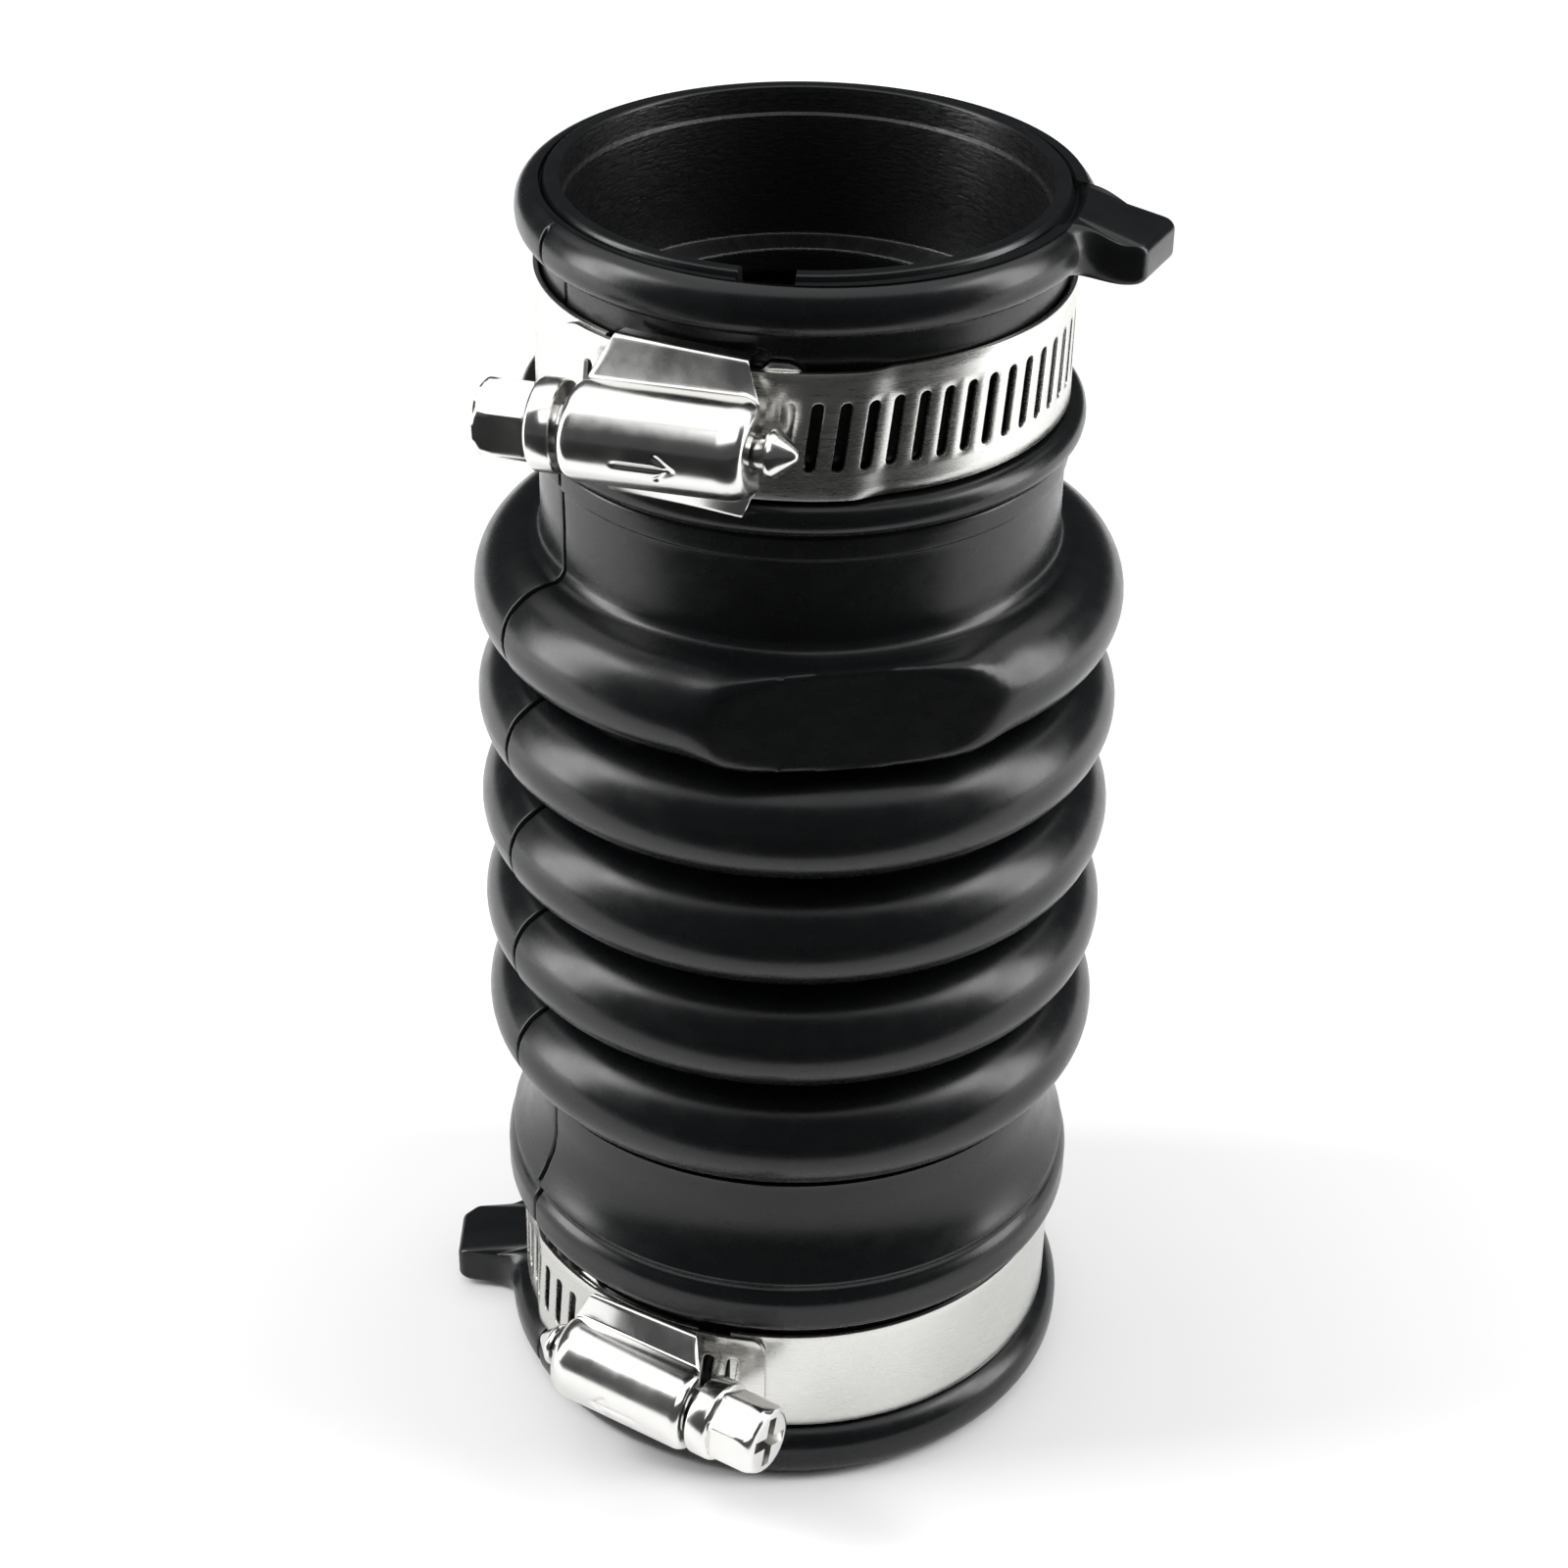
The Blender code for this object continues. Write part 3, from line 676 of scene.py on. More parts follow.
def lower_corners():
    top = crest(5) + PITCH / 2
    outside = [
        (31.0, 0.0, 0.3),
        (FOOT_R, 0.0, 3.0),
        (FOOT_R, 7.2, 3.2),
        (32.8, 7.2, 0.3),
        (32.8, 22.8, 0.3),
        (35.4, 24.4, 1.6),
        (35.4, 28.6, 2.6),
        (34.3, 29.9, 0.9),
        (34.75, 31.0, 0.45),
        (32.2, 35.6, 15.0),
        (32.1, crest(5) - FOLD_R, 1.7),
        *fold_outside(crest(5)),
        *valley_corners(top, -1),
    ]
    inside = [
        (ROOT_BORE_R, top - JOIN_GAP / 2, 0),
        *fold_inside(crest(5))[:2],
        (HOLLOW_TIP_R, crest(5) - HOLLOW_R, HOLLOW_FILLET),
        (30.85, crest(5) - HOLLOW_R, 0.12),
        (30.8, 24.6, 0.4),
        (26.2, 21.6, 0.3),
        (26.2, 18.5, 0.3),
        (30.5, 18.5, 0.3),
        (30.5, 0.5, 0.3),
    ]
    return outside + inside, len(outside)


def shape_foot(table, angles):
    """Grow the lower tab out of the foot bead."""
    reach = tab_reach(angles, LOWER_TAB_PLAN, FOOT_R)
    grown = smooth_step((reach - FOOT_R) / 3.0)
    table[:, 1, 0] = reach
    table[:, 2, 0] = reach
    table[:, 1, 1] += 1.1 * grown
    table[:, 2, 1] -= 1.6 * grown
    table[:, 1, 2] -= 2.1 * grown
    table[:, 2, 2] -= 2.2 * grown


def make_boot():
    corners, count = upper_corners()
    spots = SEAM_SPOTS + [(angle - 0.6, angle + 0.6, 0.12) for angle in NOTCH]
    spots += [(60.0, 92.0, 0.5), (65.5, 71.5, 0.2), (85.0, 90.5, 0.2)]
    upper = revolve_boot("boot_upper", corners, count - 1, spots, shape_upper_rim, press_upper)
    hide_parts("upper_cuff", "convolution_1")
    line_socket(upper)
    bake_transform(upper)

    corners, count = middle_corners()
    middle = revolve_boot("boot_middle", corners, count - 1, SEAM_SPOTS)
    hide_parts("convolution_2", "convolution_3", "convolution_4")
    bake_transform(middle)

    corners, count = lower_corners()
    spots = SEAM_SPOTS + [(-110.0, -76.0, 0.6), (-90.4, -87.0, 0.1), (-105.5, -101.0, 0.15)]
    lower = revolve_boot("boot_lower", corners, count - 1, spots, shape_foot)
    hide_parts("lower_cuff", "convolution_5")
    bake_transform(lower)


def line_socket(boot):
    """Give the socket's wall its own, glossier finish."""
    boot.data.materials.append(BORE_RUBBER)
    for face in boot.data.polygons:
        centre = face.center
        radius = Vector(centre.xy - HOSE_AXIS).length
        if radius < SOCKET_R * MM and SOCKET_LOW_Z * MM < centre.z < SOCKET_HIGH_Z * MM:
            face.material_index = 1


# ---------------------------------------------------------------- clamp band and saddle


def clamp_frame(side):
    """The clamp's own frame: its axis upright and its screw towards -Y."""
    swivel = Vector(JOINTS[f"{side}_clamp_swivel"]["pos_m"])
    screw_foot = Vector(JOINTS[f"{side}_screw_turn"]["pos_m"]) - swivel
    angle = atan2(screw_foot.x, -screw_foot.y)
    matrix = Matrix.Translation(swivel) @ Matrix.Rotation(angle, 4, "Z")
    if CLAMPS[side]["turned_over"]:
        matrix @= Matrix.Rotation(pi, 4, "Y")
    return matrix


def band_face_radius(side):
    """Radius of the outer face of a clamp's band, where it lies on the cuff."""
    return CLAMPS[side]["land"] + BAND_GAP + BAND_THICK


def set_in_clamp(points, side):
    """Points in the clamp's own frame, in millimetres, moved to the row frame."""
    matrix = np.array(clamp_frame(side))
    return np.asarray(points, float) @ matrix[:3, :3].T + matrix[:3, 3] / MM


class Sheet:
    """Vertices and faces of a bent strip, laid out flat as (along, up, depth)."""

    def __init__(self, bend):
        self.bend = bend
        self.index = {}
        self.points = []
        self.faces = []

    def vertex(self, along, up, depth):
        key = (round(along, 5), round(up, 5), round(depth, 5))
        if key not in self.index:
            self.index[key] = len(self.points)
            self.points.append(self.bend(*key))
        return self.index[key]

    def face(self, *corners):
        self.faces.append(tuple(self.vertex(*corner) for corner in corners))

    def bridge(self, first, second):
        for index in range(len(first)):
            after = (index + 1) % len(first)
            self.face(first[index], first[after], second[after], second[index])


STRIP_EDGE = 0.12
STRIP_EDGE_MID = STRIP_EDGE * 0.3
STRIP_PROFILE = [  # (inset, depth) round a strip's edge, from its outer face to its inner one
    (STRIP_EDGE, 0.0),
    (STRIP_EDGE_MID, -STRIP_EDGE_MID),
    (0.0, -STRIP_EDGE),
    (0.0, -BAND_THICK + STRIP_EDGE),
    (STRIP_EDGE_MID, -BAND_THICK + STRIP_EDGE_MID),
    (STRIP_EDGE, -BAND_THICK),
]
SLOT_BLOCK = 4.6
SUB_COLUMNS = 6
STRIP_ROWS = [-SLOT_BLOCK, -3.4, -2.2, -1.1, 0.0, 1.1, 2.2, 3.4, SLOT_BLOCK]


def strip_rows(low, high):
    """Heights of a strip's rows. Only the rows outside the slots move with its width."""
    rows = list(STRIP_ROWS)
    above = [high - (high - SLOT_BLOCK) * 0.5, high - STRIP_EDGE]
    below = [-low + STRIP_EDGE, -low + (low - SLOT_BLOCK) * 0.5]
    return below + rows + above


def add_column(sheet, near, far, slotted):
    """The faces of a strip between two columns (along, low half, high half)."""
    (near_x, near_low, near_high), (far_x, far_low, far_high) = near, far
    near_rows, far_rows = strip_rows(near_low, near_high), strip_rows(far_low, far_high)
    first_slot_row, last_slot_row = 2, len(near_rows) - 3
    for depth in (0.0, -BAND_THICK):
        for row in range(len(near_rows) - 1):
            if slotted and first_slot_row <= row < last_slot_row:
                continue
            sheet.face(
                (near_x, near_rows[row], depth),
                (far_x, far_rows[row], depth),
                (far_x, far_rows[row + 1], depth),
                (near_x, near_rows[row + 1], depth),
            )
    for sign, near_half, far_half in ((1, near_high, far_high), (-1, near_low, far_low)):
        for (inset, depth), (next_inset, next_depth) in zip(STRIP_PROFILE, STRIP_PROFILE[1:]):
            sheet.face(
                (near_x, sign * (near_half - inset), depth),
                (far_x, sign * (far_half - inset), depth),
                (far_x, sign * (far_half - next_inset), next_depth),
                (near_x, sign * (near_half - next_inset), next_depth),
            )


def close_end(sheet, column):
    """The end faces of a strip, with the rounded edges' middles among their corners."""
    x, low, high = column
    rows = strip_rows(low, high)
    outer = [(x, row, 0.0) for row in rows]
    inner = [(x, row, -BAND_THICK) for row in rows]
    edges = [
        [(x, sign * (half - inset), depth) for inset, depth in STRIP_PROFILE[1:-1]]
        for sign, half in ((1, high), (-1, low))
    ]
    for row in range(len(rows) - 1):
        sheet.face(outer[row], outer[row + 1], inner[row + 1], inner[row])
    sheet.face(outer[-1], *edges[0], inner[-1])
    sheet.face(outer[0], *edges[1], inner[0])


def slot_ring(middle, half_width, half_length):
    """A slot's outline, matched point by point to the block around it."""
    straight_half = half_length - half_width
    ring = []
    for step in range(SUB_COLUMNS + 1):
        angle = pi + pi * step / SUB_COLUMNS
        ring.append((middle + half_width * cos(angle), -straight_half + half_width * sin(angle)))
    sides = len(STRIP_ROWS) - 2
    heights = [straight_half * (2 * (k + 1) / (sides + 1) - 1) for k in range(sides)]
    ring += [(middle + half_width, height) for height in heights]
    for step in range(SUB_COLUMNS + 1):
        angle = pi * step / SUB_COLUMNS
        ring.append((middle + half_width * cos(angle), straight_half + half_width * sin(angle)))
    ring += [(middle - half_width, height) for height in reversed(heights)]
    return ring


def add_slot(sheet, left, right):
    """A slot with rounded edges, in the block between two columns."""
    columns = [left + (right - left) * k / SUB_COLUMNS for k in range(SUB_COLUMNS + 1)]
    inner_rows = STRIP_ROWS[1:-1]
    block = [(x, -SLOT_BLOCK) for x in columns] + [(right, row) for row in inner_rows]
    block += [(x, SLOT_BLOCK) for x in reversed(columns)]
    block += [(left, row) for row in reversed(inner_rows)]
    middle = (left + right) / 2
    rings = [[(x, up, 0.0) for x, up in block]]
    for inset, depth in STRIP_PROFILE:
        ring = slot_ring(middle, SLOT_HALF_WIDTH + inset, SLOT_HALF_LENGTH + inset)
        rings.append([(x, up, depth) for x, up in ring])
    rings.append([(x, up, -BAND_THICK) for x, up in block])
    for near, far in zip(rings, rings[1:]):
        sheet.bridge(near, far)


def make_band(side):
    """The strip, from its slotted free end, under the housing and round the cuff, to its plain end."""
    face_r = band_face_radius(side)
    phase = radians(CLAMPS[side]["slot_phase"]) * face_r
    start = phase + TAIL_START * SLOT_PITCH
    first_slot = phase + (FIRST_SLOT - 0.5) * SLOT_PITCH
    last_slot = phase + (LAST_SLOT + 0.5) * SLOT_PITCH
    plain_end = 2 * pi * face_r - PLAIN_END_ARC
    lean = sin(radians(SLOT_LEAN))

    def bend(along, up, depth):
        cells = (along - phase) / SLOT_PITCH
        lift = BAND_LIFT * (1 - smooth_step((cells - LIFT_CELLS) / LIFT_RAMP_CELLS))
        fade = 1 - smooth_step((along - last_slot) / 6.0)
        fade *= smooth_step((along - start) / 2.0)
        shifted = along + lean * fade * max(-SLOT_BLOCK, min(SLOT_BLOCK, up))
        radius, angle = face_r + lift + depth, shifted / face_r
        return (radius * sin(angle), -radius * cos(angle), up)

    sheet = Sheet(bend)
    sub = SLOT_PITCH / SUB_COLUMNS
    columns = []
    for step in range(TAIL_STEPS + 1):
        turn = pi / 2 * step / TAIL_STEPS
        half = BAND_HALF - TAIL_CORNER * (1 - sin(turn))
        columns.append((start + TAIL_CORNER * (1 - cos(turn)), half, half, False))
    for cell in range(LAST_SLOT - FIRST_SLOT + 1):
        for k in range(SUB_COLUMNS):
            x = first_slot + cell * SLOT_PITCH + k * sub
            columns.append((x, BAND_HALF, BAND_HALF, True))
        add_slot(sheet, first_slot + cell * SLOT_PITCH, first_slot + (cell + 1) * SLOT_PITCH)
    plain_steps = int((plain_end - last_slot) / 0.9)
    for k in range(plain_steps + 1):
        x = last_slot + (plain_end - last_slot) * k / plain_steps
        columns.append((x, BAND_HALF, BAND_HALF, False))
    for near, far in zip(columns, columns[1:]):
        add_column(sheet, near[:3], far[:3], near[3])
    close_end(sheet, columns[0][:3])
    close_end(sheet, columns[-1][:3])
    points = set_in_clamp(sheet.points, side)
    band = make_piece(f"{side}_clamp_strip", points, sheet.faces, BAND_STEEL, 35.0)
    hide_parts(f"{side}_band")
    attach(band, f"{side}_clamp_band")


SADDLE_START, SADDLE_FLARE, SADDLE_END = -6.2, 7.9, 12.5
SADDLE_HALF = 6.9
SADDLE_CORNER = 2.2


def make_saddle(side):
    """Curved plate under the slotted end, wider and round-cornered where it comes out."""
    face_r = band_face_radius(side)
    high_wide, low_wide = CLAMPS[side]["saddle"]

    def half_at(x, wide):
        half = SADDLE_HALF + (wide - SADDLE_HALF) * float(smooth_step((x - SADDLE_FLARE) / 0.9))
        inset = max(0.0, SADDLE_CORNER - (SADDLE_END - x))
        return half - (SADDLE_CORNER - (SADDLE_CORNER**2 - inset**2) ** 0.5)

    def bend(along, up, depth):
        radius, angle = face_r + depth, along / face_r
        return (radius * sin(angle), -radius * cos(angle), up)

    sheet = Sheet(bend)
    places = list(np.linspace(SADDLE_START, SADDLE_END - SADDLE_CORNER, 34))
    places += [SADDLE_END - SADDLE_CORNER * (1 - sin(pi / 2 * k / 8)) for k in range(1, 9)]
    columns = [(x, half_at(x, low_wide), half_at(x, high_wide)) for x in places]
    for near, far in zip(columns, columns[1:]):
        add_column(sheet, near, far, False)
    close_end(sheet, columns[0])
    close_end(sheet, columns[-1])
    points = set_in_clamp(sheet.points, side)
    saddle = make_piece(f"{side}_clamp_saddle", points, sheet.faces, BRIGHT_STEEL, 35.0)
    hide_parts(f"{side}_saddle")
    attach(saddle, f"{side}_clamp")


# ---------------------------------------------------------------- housing and screw

BARREL_R = 5.4
BARREL_WALL = 0.9
BARREL_BACK, BARREL_FRONT = -9.7, 9.8
BARREL_ARC = 93.0
CREASE_ARC = 101.0
END_WALL = 0.8  # the barrel is closed to a hole round the screw's neck, at its tip end
END_HOLE_R = 2.4
FRONT_TURN, BACK_TURN = (2.3, 1.35), (1.3, 0.9)  # length and depth of the ends' rounding
FLANGE_THICK = 0.8
FLANGE_STEP = 0.35
FLANGE_POINTS = 26
KNEE_RISE = 1.35
FLANGE_REACH = 0.72  # length of the flange's edge over the barrel's length
KNEE_REACH = FLANGE_REACH + 0.04
WRAP_STEPS = 104
ARROW = [((-3.2, -10), (2.8, -10)), ((2.8, -10), (1.2, 4)), ((2.8, -10), (1.2, -24))]
ARROW_DEPTH = 0.26
ARROW_WIDTH = 0.26


def screw_direction():
    tilt, lean = radians(SCREW_TILT), radians(SCREW_LEAN)
    return np.array([cos(tilt) * cos(lean), sin(tilt) * cos(lean), sin(lean)])


def end_turn(along, front):
    """How far the barrel's outside is drawn in near an end, on a quarter round."""
    reach, depth = FRONT_TURN if front else BACK_TURN
    distance = (BARREL_FRONT - along) if front else (along - BARREL_BACK)
    inset = max(0.0, 1 - distance / reach)
    return depth * (1 - (1 - inset**2) ** 0.5)


def barrel_radius(along):
    return BARREL_R - end_turn(along, True) - end_turn(along, False)


def press_depth(along, angle):
    """Depth of the generic arrow pressed into the barrel."""
    here = np.array([along, radians(angle) * BARREL_R])
    depth = 0.0
    for start, end in ARROW:
        a = np.array([start[0], radians(start[1]) * BARREL_R])
        b = np.array([end[0], radians(end[1]) * BARREL_R])
        t = np.clip(((here - a) @ (b - a)) / ((b - a) @ (b - a)), 0, 1)
        distance = np.linalg.norm(here - a - t * (b - a))
        depth = max(depth, ARROW_DEPTH * np.exp(-((distance / ARROW_WIDTH) ** 2)))
    return depth


def housing_line(along, radius, side, inside):
    """One line of the housing's section, from the upper flange's foot to the lower one's."""
    clamp = CLAMPS[side]
    face_r = band_face_radius(side)
    direction = screw_direction()
    centre = np.array([0, -(face_r + SCREW_RISE), 0]) + direction * along
    turned = -1 if clamp["turned_over"] else 1
    foot_rise, knee_drop = (0.1, 0.2) if inside else (0.5, 0.0)
    knee_fillet = 0.28 if inside else 0.6

    def on_barrel(angle, pressed=False):
        r = radius - (press_depth(along, turned * angle) if pressed else 0.0)
        return centre + r * np.array([0, -cos(radians(angle)), sin(radians(angle))])

    def flange(sign, foot, half):
        z = sign * (half - FLANGE_THICK if inside else half)
        knee = max(foot + foot_rise, KNEE_RISE - knee_drop)
        crease = on_barrel(sign * CREASE_ARC)
        corners = [
            (along * FLANGE_REACH, -(face_r + foot), z, 0.0),
            (along * KNEE_REACH, -(face_r + knee), z, knee_fillet),
            (crease[0] - 0.02 * along, crease[1], crease[2], 0.3),
            (*on_barrel(sign * BARREL_ARC), 0.0),
        ]
        return round_outline(np.array([corners]), FLANGE_STEP, closed=False)[0][0]

    (top_foot, low_foot), (top_half, low_half) = clamp["feet"], clamp["flange"]
    top = flange(1, top_foot, top_half)
    low = flange(-1, low_foot, low_half)
    angles = [BARREL_ARC * (1 - 2 * step / WRAP_STEPS) for step in range(1, WRAP_STEPS)]
    wrap = np.array([on_barrel(angle, not inside) for angle in angles])
    return top, wrap, low[::-1]


def resample(line, count):
    """The same line with a set number of points, so that all sections match."""
    lengths = np.concatenate([[0], np.cumsum(np.linalg.norm(np.diff(line, axis=0), axis=1))])
    places = np.linspace(0, lengths[-1], count)
    return np.stack([np.interp(places, lengths, line[:, axis]) for axis in range(3)], axis=1)


def housing_section(along, side):
    """The outer and the inner line of the housing's section."""
    outer_r = barrel_radius(along)
    inner_r = BARREL_R - BARREL_WALL - 0.75 * (BARREL_R - outer_r)
    to_front = BARREL_FRONT - along
    if to_front < END_WALL:
        inner_r = END_HOLE_R + (inner_r - END_HOLE_R) * to_front / END_WALL
    sections = []
    for radius, inside in ((outer_r, False), (inner_r, True)):
        top, wrap, low = housing_line(along, radius, side, inside)
        ends = resample(top, FLANGE_POINTS), resample(low, FLANGE_POINTS)
        sections.append(np.concatenate([ends[0], wrap, ends[1]]))
    return sections


def housing_places():
    """Where the sections are, along the screw: closer near the rounded ends."""
    ends = [0.0, 0.08, 0.25, 0.5, 0.8, 1.15, 1.5, 1.9]
    back = [BARREL_BACK + 0.7 * d for d in ends]
    front = [BARREL_FRONT - 1.2 * d for d in ends]
    middle = np.linspace(back[-1], front[-1], 64)
    return sorted(set(np.round([*back, *middle, *front], 4)))


def make_housing(side):
    """Barrel and flanges as one shell, from sections along the screw."""
    rows = [housing_section(along, side) for along in housing_places()]
    outer = np.array([row[0] for row in rows])
    inner = np.array([row[1] for row in rows])
    ring = np.concatenate([outer, inner[:, ::-1]], axis=1)
    columns, length = ring.shape[:2]
    faces = grid_faces(columns, length, False, True)
    half = length // 2
    for column in (0, columns - 1):
        base = column * length
        for row in range(half - 1):
            across = base + length - 1 - row
            faces.append((base + row, base + row + 1, across - 1, across))
    points = set_in_clamp(ring.reshape(-1, 3), side)
    housing = make_piece(f"{side}_clamp_housing", points, faces, BRIGHT_STEEL, 45.0)
    soften_edges(housing, 0.12)
    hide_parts(f"{side}_housing")
    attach(housing, f"{side}_clamp")


def soften_edges(piece, width):
    bevel = piece.modifiers.new("edges", "BEVEL")
    bevel.width = width * MM
    bevel.segments = 2
    bevel.limit_method = "ANGLE"
    bevel.angle_limit = radians(50)
    bevel.harden_normals = False
    weighted = piece.modifiers.new("normals", "WEIGHTED_NORMAL")
    weighted.keep_sharp = False


SCREW_COLUMNS = 72
HEX_ACROSS = 8.0
HEX_EASED_R = 4.42  # the corners are drawn in past this radius
HEX_EASE = 0.55
HEAD_END = -20.0
WORM_BACK = -9.2
WORM_TURNS = 6
WORM_FRONT = WORM_BACK + WORM_TURNS * SLOT_PITCH
WORM_R, CORE_R = 3.15, 2.5
WORM_RINGS = 12
THREAD_FOOT, THREAD_FLANK = 0.36, 0.18  # half the thread's foot and its flank, in pitches
SHARP_ANGLE = 32.0
HEAD = [  # distance from the head's end, and the radius that the chamfer leaves (9 is all of it)
    (0.02, 3.55), (0.12, 3.8), (0.35, 4.05), (0.7, 4.35), (1.1, 4.6),
    (2.5, 9), (4.0, 9), (5.4, 9), (5.95, 9), (6.05, 4.3),
]
COLLAR = [  # distance along the screw, and radius
    (-13.9, 4.25), (-13.8, 4.62), (-13.6, 4.83), (-13.4, 4.9), (-12.4, 4.9), (-11.3, 4.9),
    (-11.12, 4.84), (-11.0, 4.68), (-10.98, 3.2), (-10.9, 2.9), (WORM_BACK, 2.9),
]
TIP = [  # the same
    (WORM_FRONT, CORE_R), (WORM_FRONT + 0.15, 1.85), (WORM_FRONT + 0.4, 1.72),
    (10.0, 1.7), (10.7, 1.72), (10.95, 1.85), (11.0, 2.3), (11.08, 2.5), (11.25, 2.6), (11.6, 2.6),
    (11.8, 2.5), (12.2, 2.12), (13.0, 1.4), (13.6, 0.86), (13.85, 0.6), (13.97, 0.38), (14.0, 0.15),
]


def hexagon(angle, limit):
    """Radius of the hexagon with its corners eased, and cut by the head's chamfer cone."""
    within = (angle + pi / 6) % (pi / 3) - pi / 6
    radius = HEX_ACROSS / 2 / cos(within)
    eased = radius - max(0.0, radius - HEX_EASED_R) * HEX_EASE
    return min(eased, limit)


def worm(angle, along):
    """Radius of the worm: a flat-topped thread, one turn to each slot pitch."""
    turns = (along / SLOT_PITCH - angle / (2 * pi)) % 1.0
    slope = min(max((THREAD_FOOT - abs(turns - 0.5)) / THREAD_FLANK, 0.0), 1.0)
    return CORE_R + (WORM_R - CORE_R) * slope


def screw_rings():
    """(distance along the screw, radius rule) from the head to the tip."""
    def plain(radius):
        return lambda angle: radius

    def head(limit):
        return lambda angle: hexagon(angle, limit)

    def thread(along):
        return lambda angle: worm(angle, along)

    rings = [(HEAD_END, plain(3.2))]
    rings += [(HEAD_END + rise, head(limit)) for rise, limit in HEAD]
    rings += [(along, plain(radius)) for along, radius in COLLAR]
    for ring in range(1, WORM_TURNS * WORM_RINGS):
        along = WORM_BACK + ring * SLOT_PITCH / WORM_RINGS
        rings.append((along, thread(along)))
    rings += [(along, plain(radius)) for along, radius in TIP]
    return rings


RECESS_WIDTH, RECESS_SPAN, RECESS_DEPTH = 1.5, 7.2, 2.4
RECESS_TURN = 20.0  # degrees, between the cross and the hexagon


def cut_recess(screw, axis_frame):
    """Cross recess with sloped arms, cut into the head."""
    for turned in (0, 1):
        bm = bmesh.new()
        bmesh.ops.create_cube(bm, size=1.0)
        for vert in bm.verts:
            deep = vert.co.z > 0
            span = RECESS_SPAN * (0.62 if deep else 1.06)
            # The second arm is a little wider than the first.
            width = RECESS_WIDTH * (0.8 if deep else 1.05) + 0.05 * turned
            vert.co.x *= span * MM
            vert.co.y *= width * MM
            vert.co.z *= 2 * RECESS_DEPTH * MM
        quarter = Matrix.Rotation(turned * pi / 2 + radians(RECESS_TURN), 4, "Z")
        bmesh.ops.transform(bm, matrix=axis_frame @ quarter, verts=bm.verts)
        mesh = bpy.data.meshes.new("recess")
        bm.to_mesh(mesh)
        bm.free()
        cutter = bpy.data.objects.new("recess", mesh)
        bpy.context.scene.collection.objects.link(cutter)
        modifier = screw.modifiers.new("recess", "BOOLEAN")
        modifier.operation = "DIFFERENCE"
        modifier.solver = "EXACT"
        modifier.object = cutter
        apply_modifiers(screw)
        bpy.data.objects.remove(cutter, do_unlink=True)


def apply_modifiers(piece):
    graph = bpy.context.evaluated_depsgraph_get()
    mesh = bpy.data.meshes.new_from_object(piece.evaluated_get(graph))
    piece.modifiers.clear()
    piece.data = mesh


def make_screw(side):
    """Head, collar, worm and pointed tip, turned as one, with a recess cut into the head."""
    direction = Vector(screw_direction())
    turn = direction.to_track_quat("Z", "Y").to_matrix()
    origin = Vector((0, -(band_face_radius(side) + SCREW_RISE), 0))
    points = []
    rings = screw_rings()
    for along, rule in rings:
        for index in range(SCREW_COLUMNS):
            angle = 2 * pi * index / SCREW_COLUMNS
            radius = rule(angle)
            points.append(turn @ Vector((radius * cos(angle), radius * sin(angle), along)) + origin)
    faces = grid_faces(len(rings), SCREW_COLUMNS, False, True)
    faces.append(tuple(range(SCREW_COLUMNS)))
    faces.append(tuple((len(rings) - 1) * SCREW_COLUMNS + k for k in range(SCREW_COLUMNS)))
    placed = set_in_clamp([tuple(point) for point in points], side)
    screw = make_piece(f"{side}_clamp_screw", placed, faces, BRIGHT_STEEL, SHARP_ANGLE)
    head = origin + direction * HEAD_END
    axis_frame = clamp_frame(side) @ Matrix.Translation(head * MM) @ turn.to_4x4()
    cut_recess(screw, axis_frame)
    screw.data.shade_smooth()
    screw.data.set_sharp_from_angle(angle=radians(SHARP_ANGLE))
    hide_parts(f"{side}_screw")
    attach(screw, f"{side}_clamp_screw")


# ---------------------------------------------------------------- studio


def add_card(name, corners, material):
    """One flat face, for the stage."""
    mesh = bpy.data.meshes.new(name)
    mesh.from_pydata(corners, [], [tuple(range(len(corners)))])
    mesh.materials.append(material)
    card = bpy.data.objects.new(name, mesh)
    bpy.context.scene.collection.objects.link(card)
    return card


def make_floor():
    turns = [2 * pi * step / FLOOR_SIDES for step in range(FLOOR_SIDES)]
    rim = [(FLOOR_RADIUS * cos(turn), FLOOR_RADIUS * sin(turn), 0.0) for turn in turns]
    floor = add_card("floor", rim, make_floor_material())


def is_steel(piece):
    return piece.data.materials[0] in (BAND_STEEL, BRIGHT_STEEL)


def gather(name, steel):
    """A group of the pieces that are steel, or of all the others, for a lamp to light."""
    group = bpy.data.collections.new(name)
    for piece in bpy.context.scene.objects:
        if piece.type == "MESH" and piece.data.materials and is_steel(piece) == steel:
            group.objects.link(piece)
    return group


def add_softbox(name, where, target, size, power, lit=None):
    """A rectangular lamp, which may light only one group of pieces."""
    light = bpy.data.lights.new(name, "AREA")
    light.shape = "RECTANGLE"
    light.size, light.size_y = size
    light.energy = power
    lamp = bpy.data.objects.new(name, light)
    bpy.context.scene.collection.objects.link(lamp)
    lamp.location = where
    aim = Vector(target) - Vector(where)
    lamp.rotation_euler = aim.to_track_quat("-Z", "Y").to_euler()
    if lit:
        lamp.light_linking.receiver_collection = lit


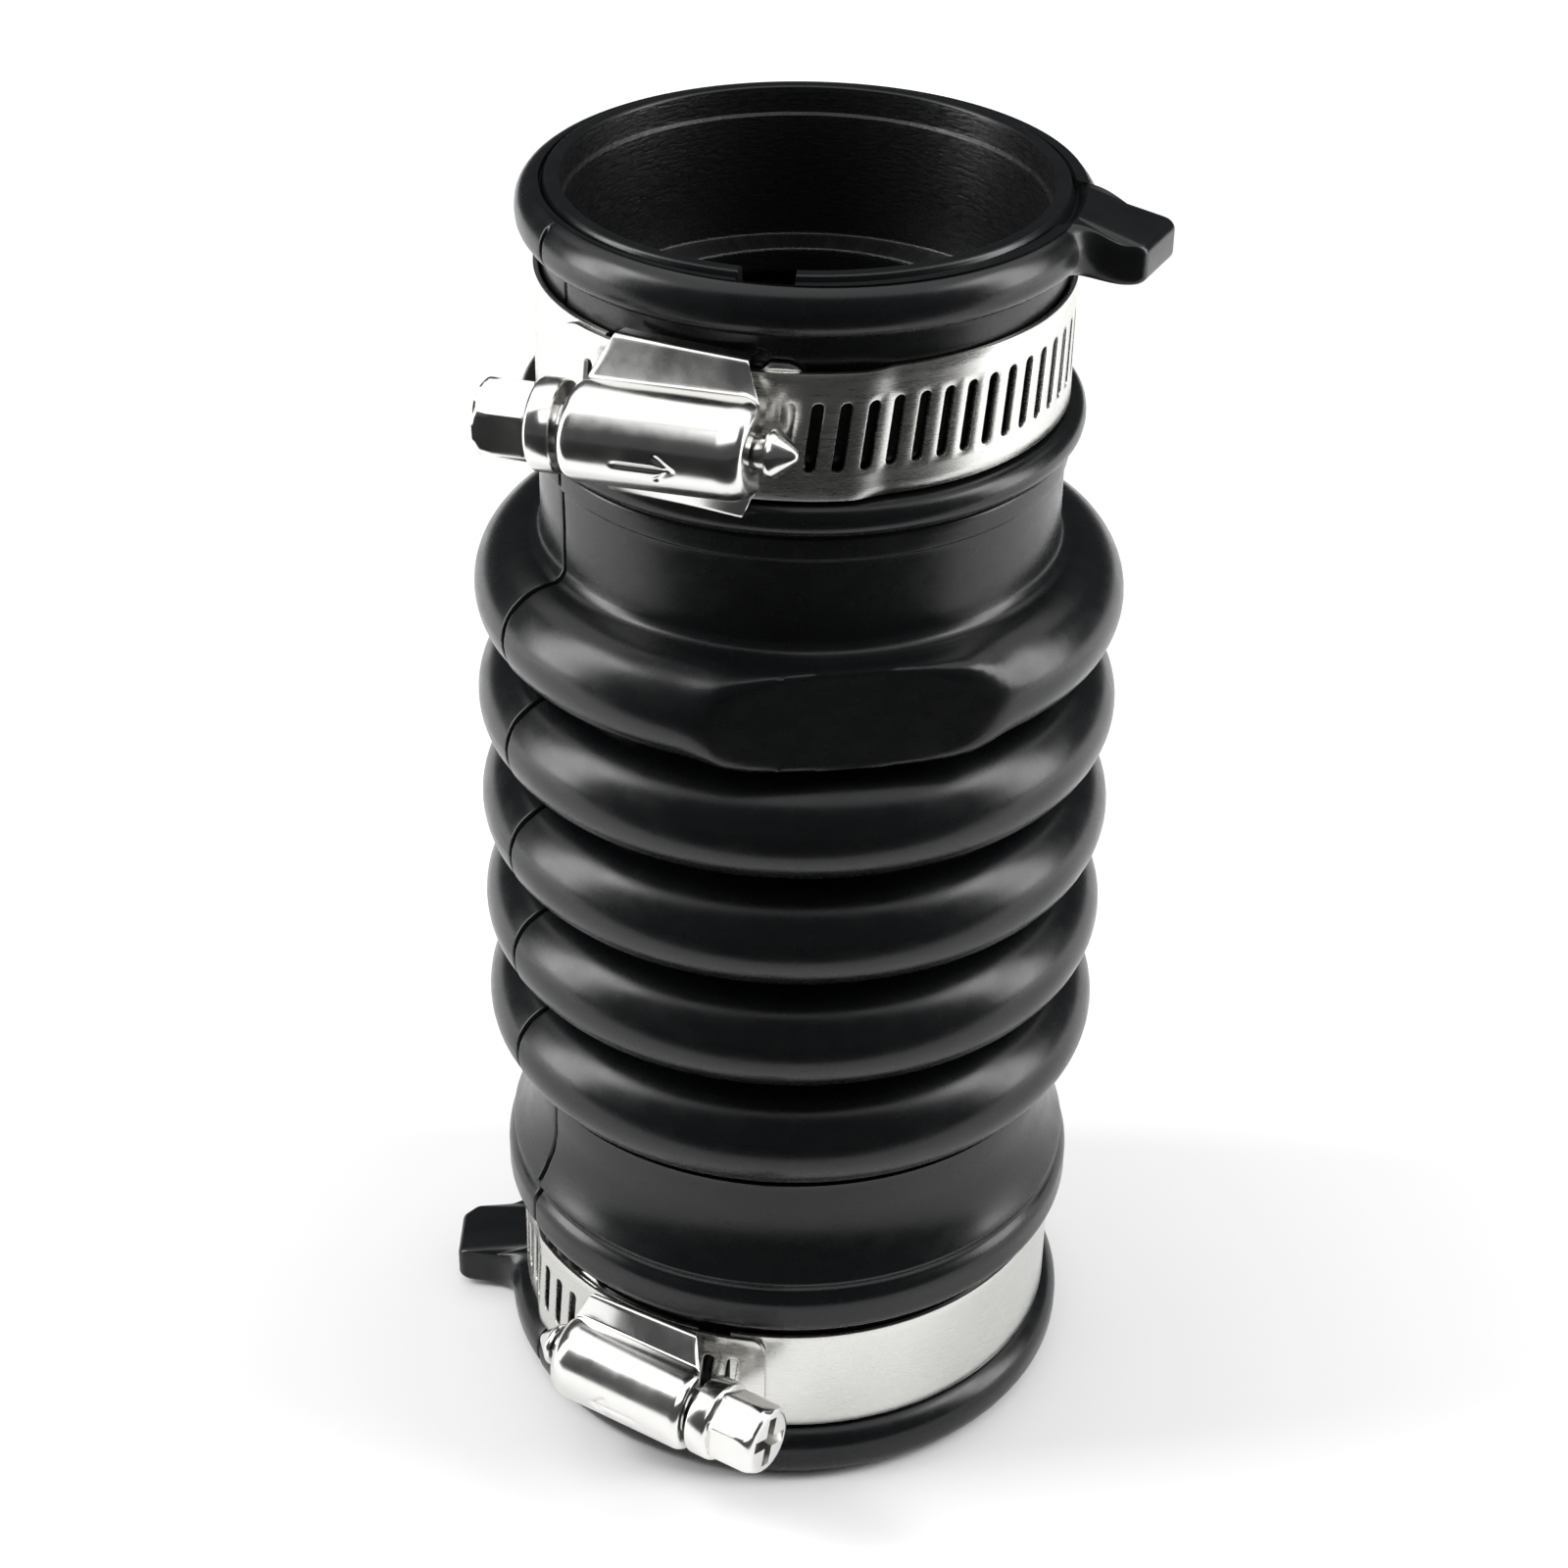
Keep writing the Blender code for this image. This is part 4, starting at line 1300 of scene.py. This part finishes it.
def make_flag():
    """A black card in front of the object, which only its reflections see."""
    corners = [
        (-FLAG_HALF_WIDTH, FLAG_FAR_Y, FLAG_HEIGHT),
        (FLAG_HALF_WIDTH, FLAG_FAR_Y, FLAG_HEIGHT),
        (FLAG_HALF_WIDTH, FLAG_NEAR_Y, FLAG_HEIGHT),
        (-FLAG_HALF_WIDTH, FLAG_NEAR_Y, FLAG_HEIGHT),
    ]
    flag = add_card("front_flag", corners, new_material("flag_black", (0.01, 0.01, 0.01), 0.9, 0.0)[0])
    flag.visible_camera = False
    flag.visible_diffuse = False
    flag.visible_shadow = False


def make_lights():
    """The overhead lamp lights everything. The side lamps are dimmer on steel, and the panel is its own."""
    add_softbox("overhead", **OVERHEAD)
    steel = gather("lit_steel", True)
    others = gather("lit_others", False)
    for name, (side, power, steel_power) in SIDE_LAMPS.items():
        where = (side * SIDE_LAMP_X, SIDE_LAMP_Y, SIDE_LAMP_Z)
        add_softbox(f"{name}_softbox", where, LAMP_TARGET, SIDE_LAMP_SIZE, power, others)
        add_softbox(f"{name}_softbox_on_steel", where, LAMP_TARGET, SIDE_LAMP_SIZE, steel_power, steel)
    add_softbox("front_panel", **FRONT_PANEL, lit=steel)


def make_backdrop():
    """A pale world that is bright for the camera and dim as a source of light."""
    world = bpy.data.worlds.new("studio")
    bpy.context.scene.world = world
    world.use_nodes = True
    tree = world.node_tree
    background = tree.nodes["Background"]
    background.inputs["Color"].default_value = BACKDROP_COLOUR
    seen = tree.nodes.new("ShaderNodeLightPath").outputs["Is Camera Ray"]
    strength = spread(tree, seen, WORLD_FILL, BACKDROP_STRENGTH, 0.0, 1.0)
    tree.links.new(strength, background.inputs["Strength"])


CAMERA_PLACE = (0.000764, -0.31045, 0.27775)
CAMERA_TILT = 57.822
CAMERA_ROLL = 1.107
CAMERA_LENS = 71.9
SENSOR_WIDTH = 36.0


def make_camera():
    camera = bpy.data.cameras.new("camera")
    camera.lens = CAMERA_LENS
    camera.sensor_width = SENSOR_WIDTH
    camera.clip_start, camera.clip_end = 0.01, 20.0
    holder = bpy.data.objects.new("camera", camera)
    bpy.context.scene.collection.objects.link(holder)
    tilt = Matrix.Rotation(radians(CAMERA_TILT), 4, "X")
    roll = Matrix.Rotation(radians(CAMERA_ROLL), 4, "Z")
    holder.matrix_world = Matrix.Translation(CAMERA_PLACE) @ tilt @ roll
    bpy.context.scene.camera = holder


make_camera()
make_boot()
for clamp_side in CLAMPS:
    make_band(clamp_side)
    make_saddle(clamp_side)
    make_housing(clamp_side)
    make_screw(clamp_side)
make_floor()
make_lights()
make_flag()
make_backdrop()
bpy.context.scene.view_settings.view_transform = "Standard"
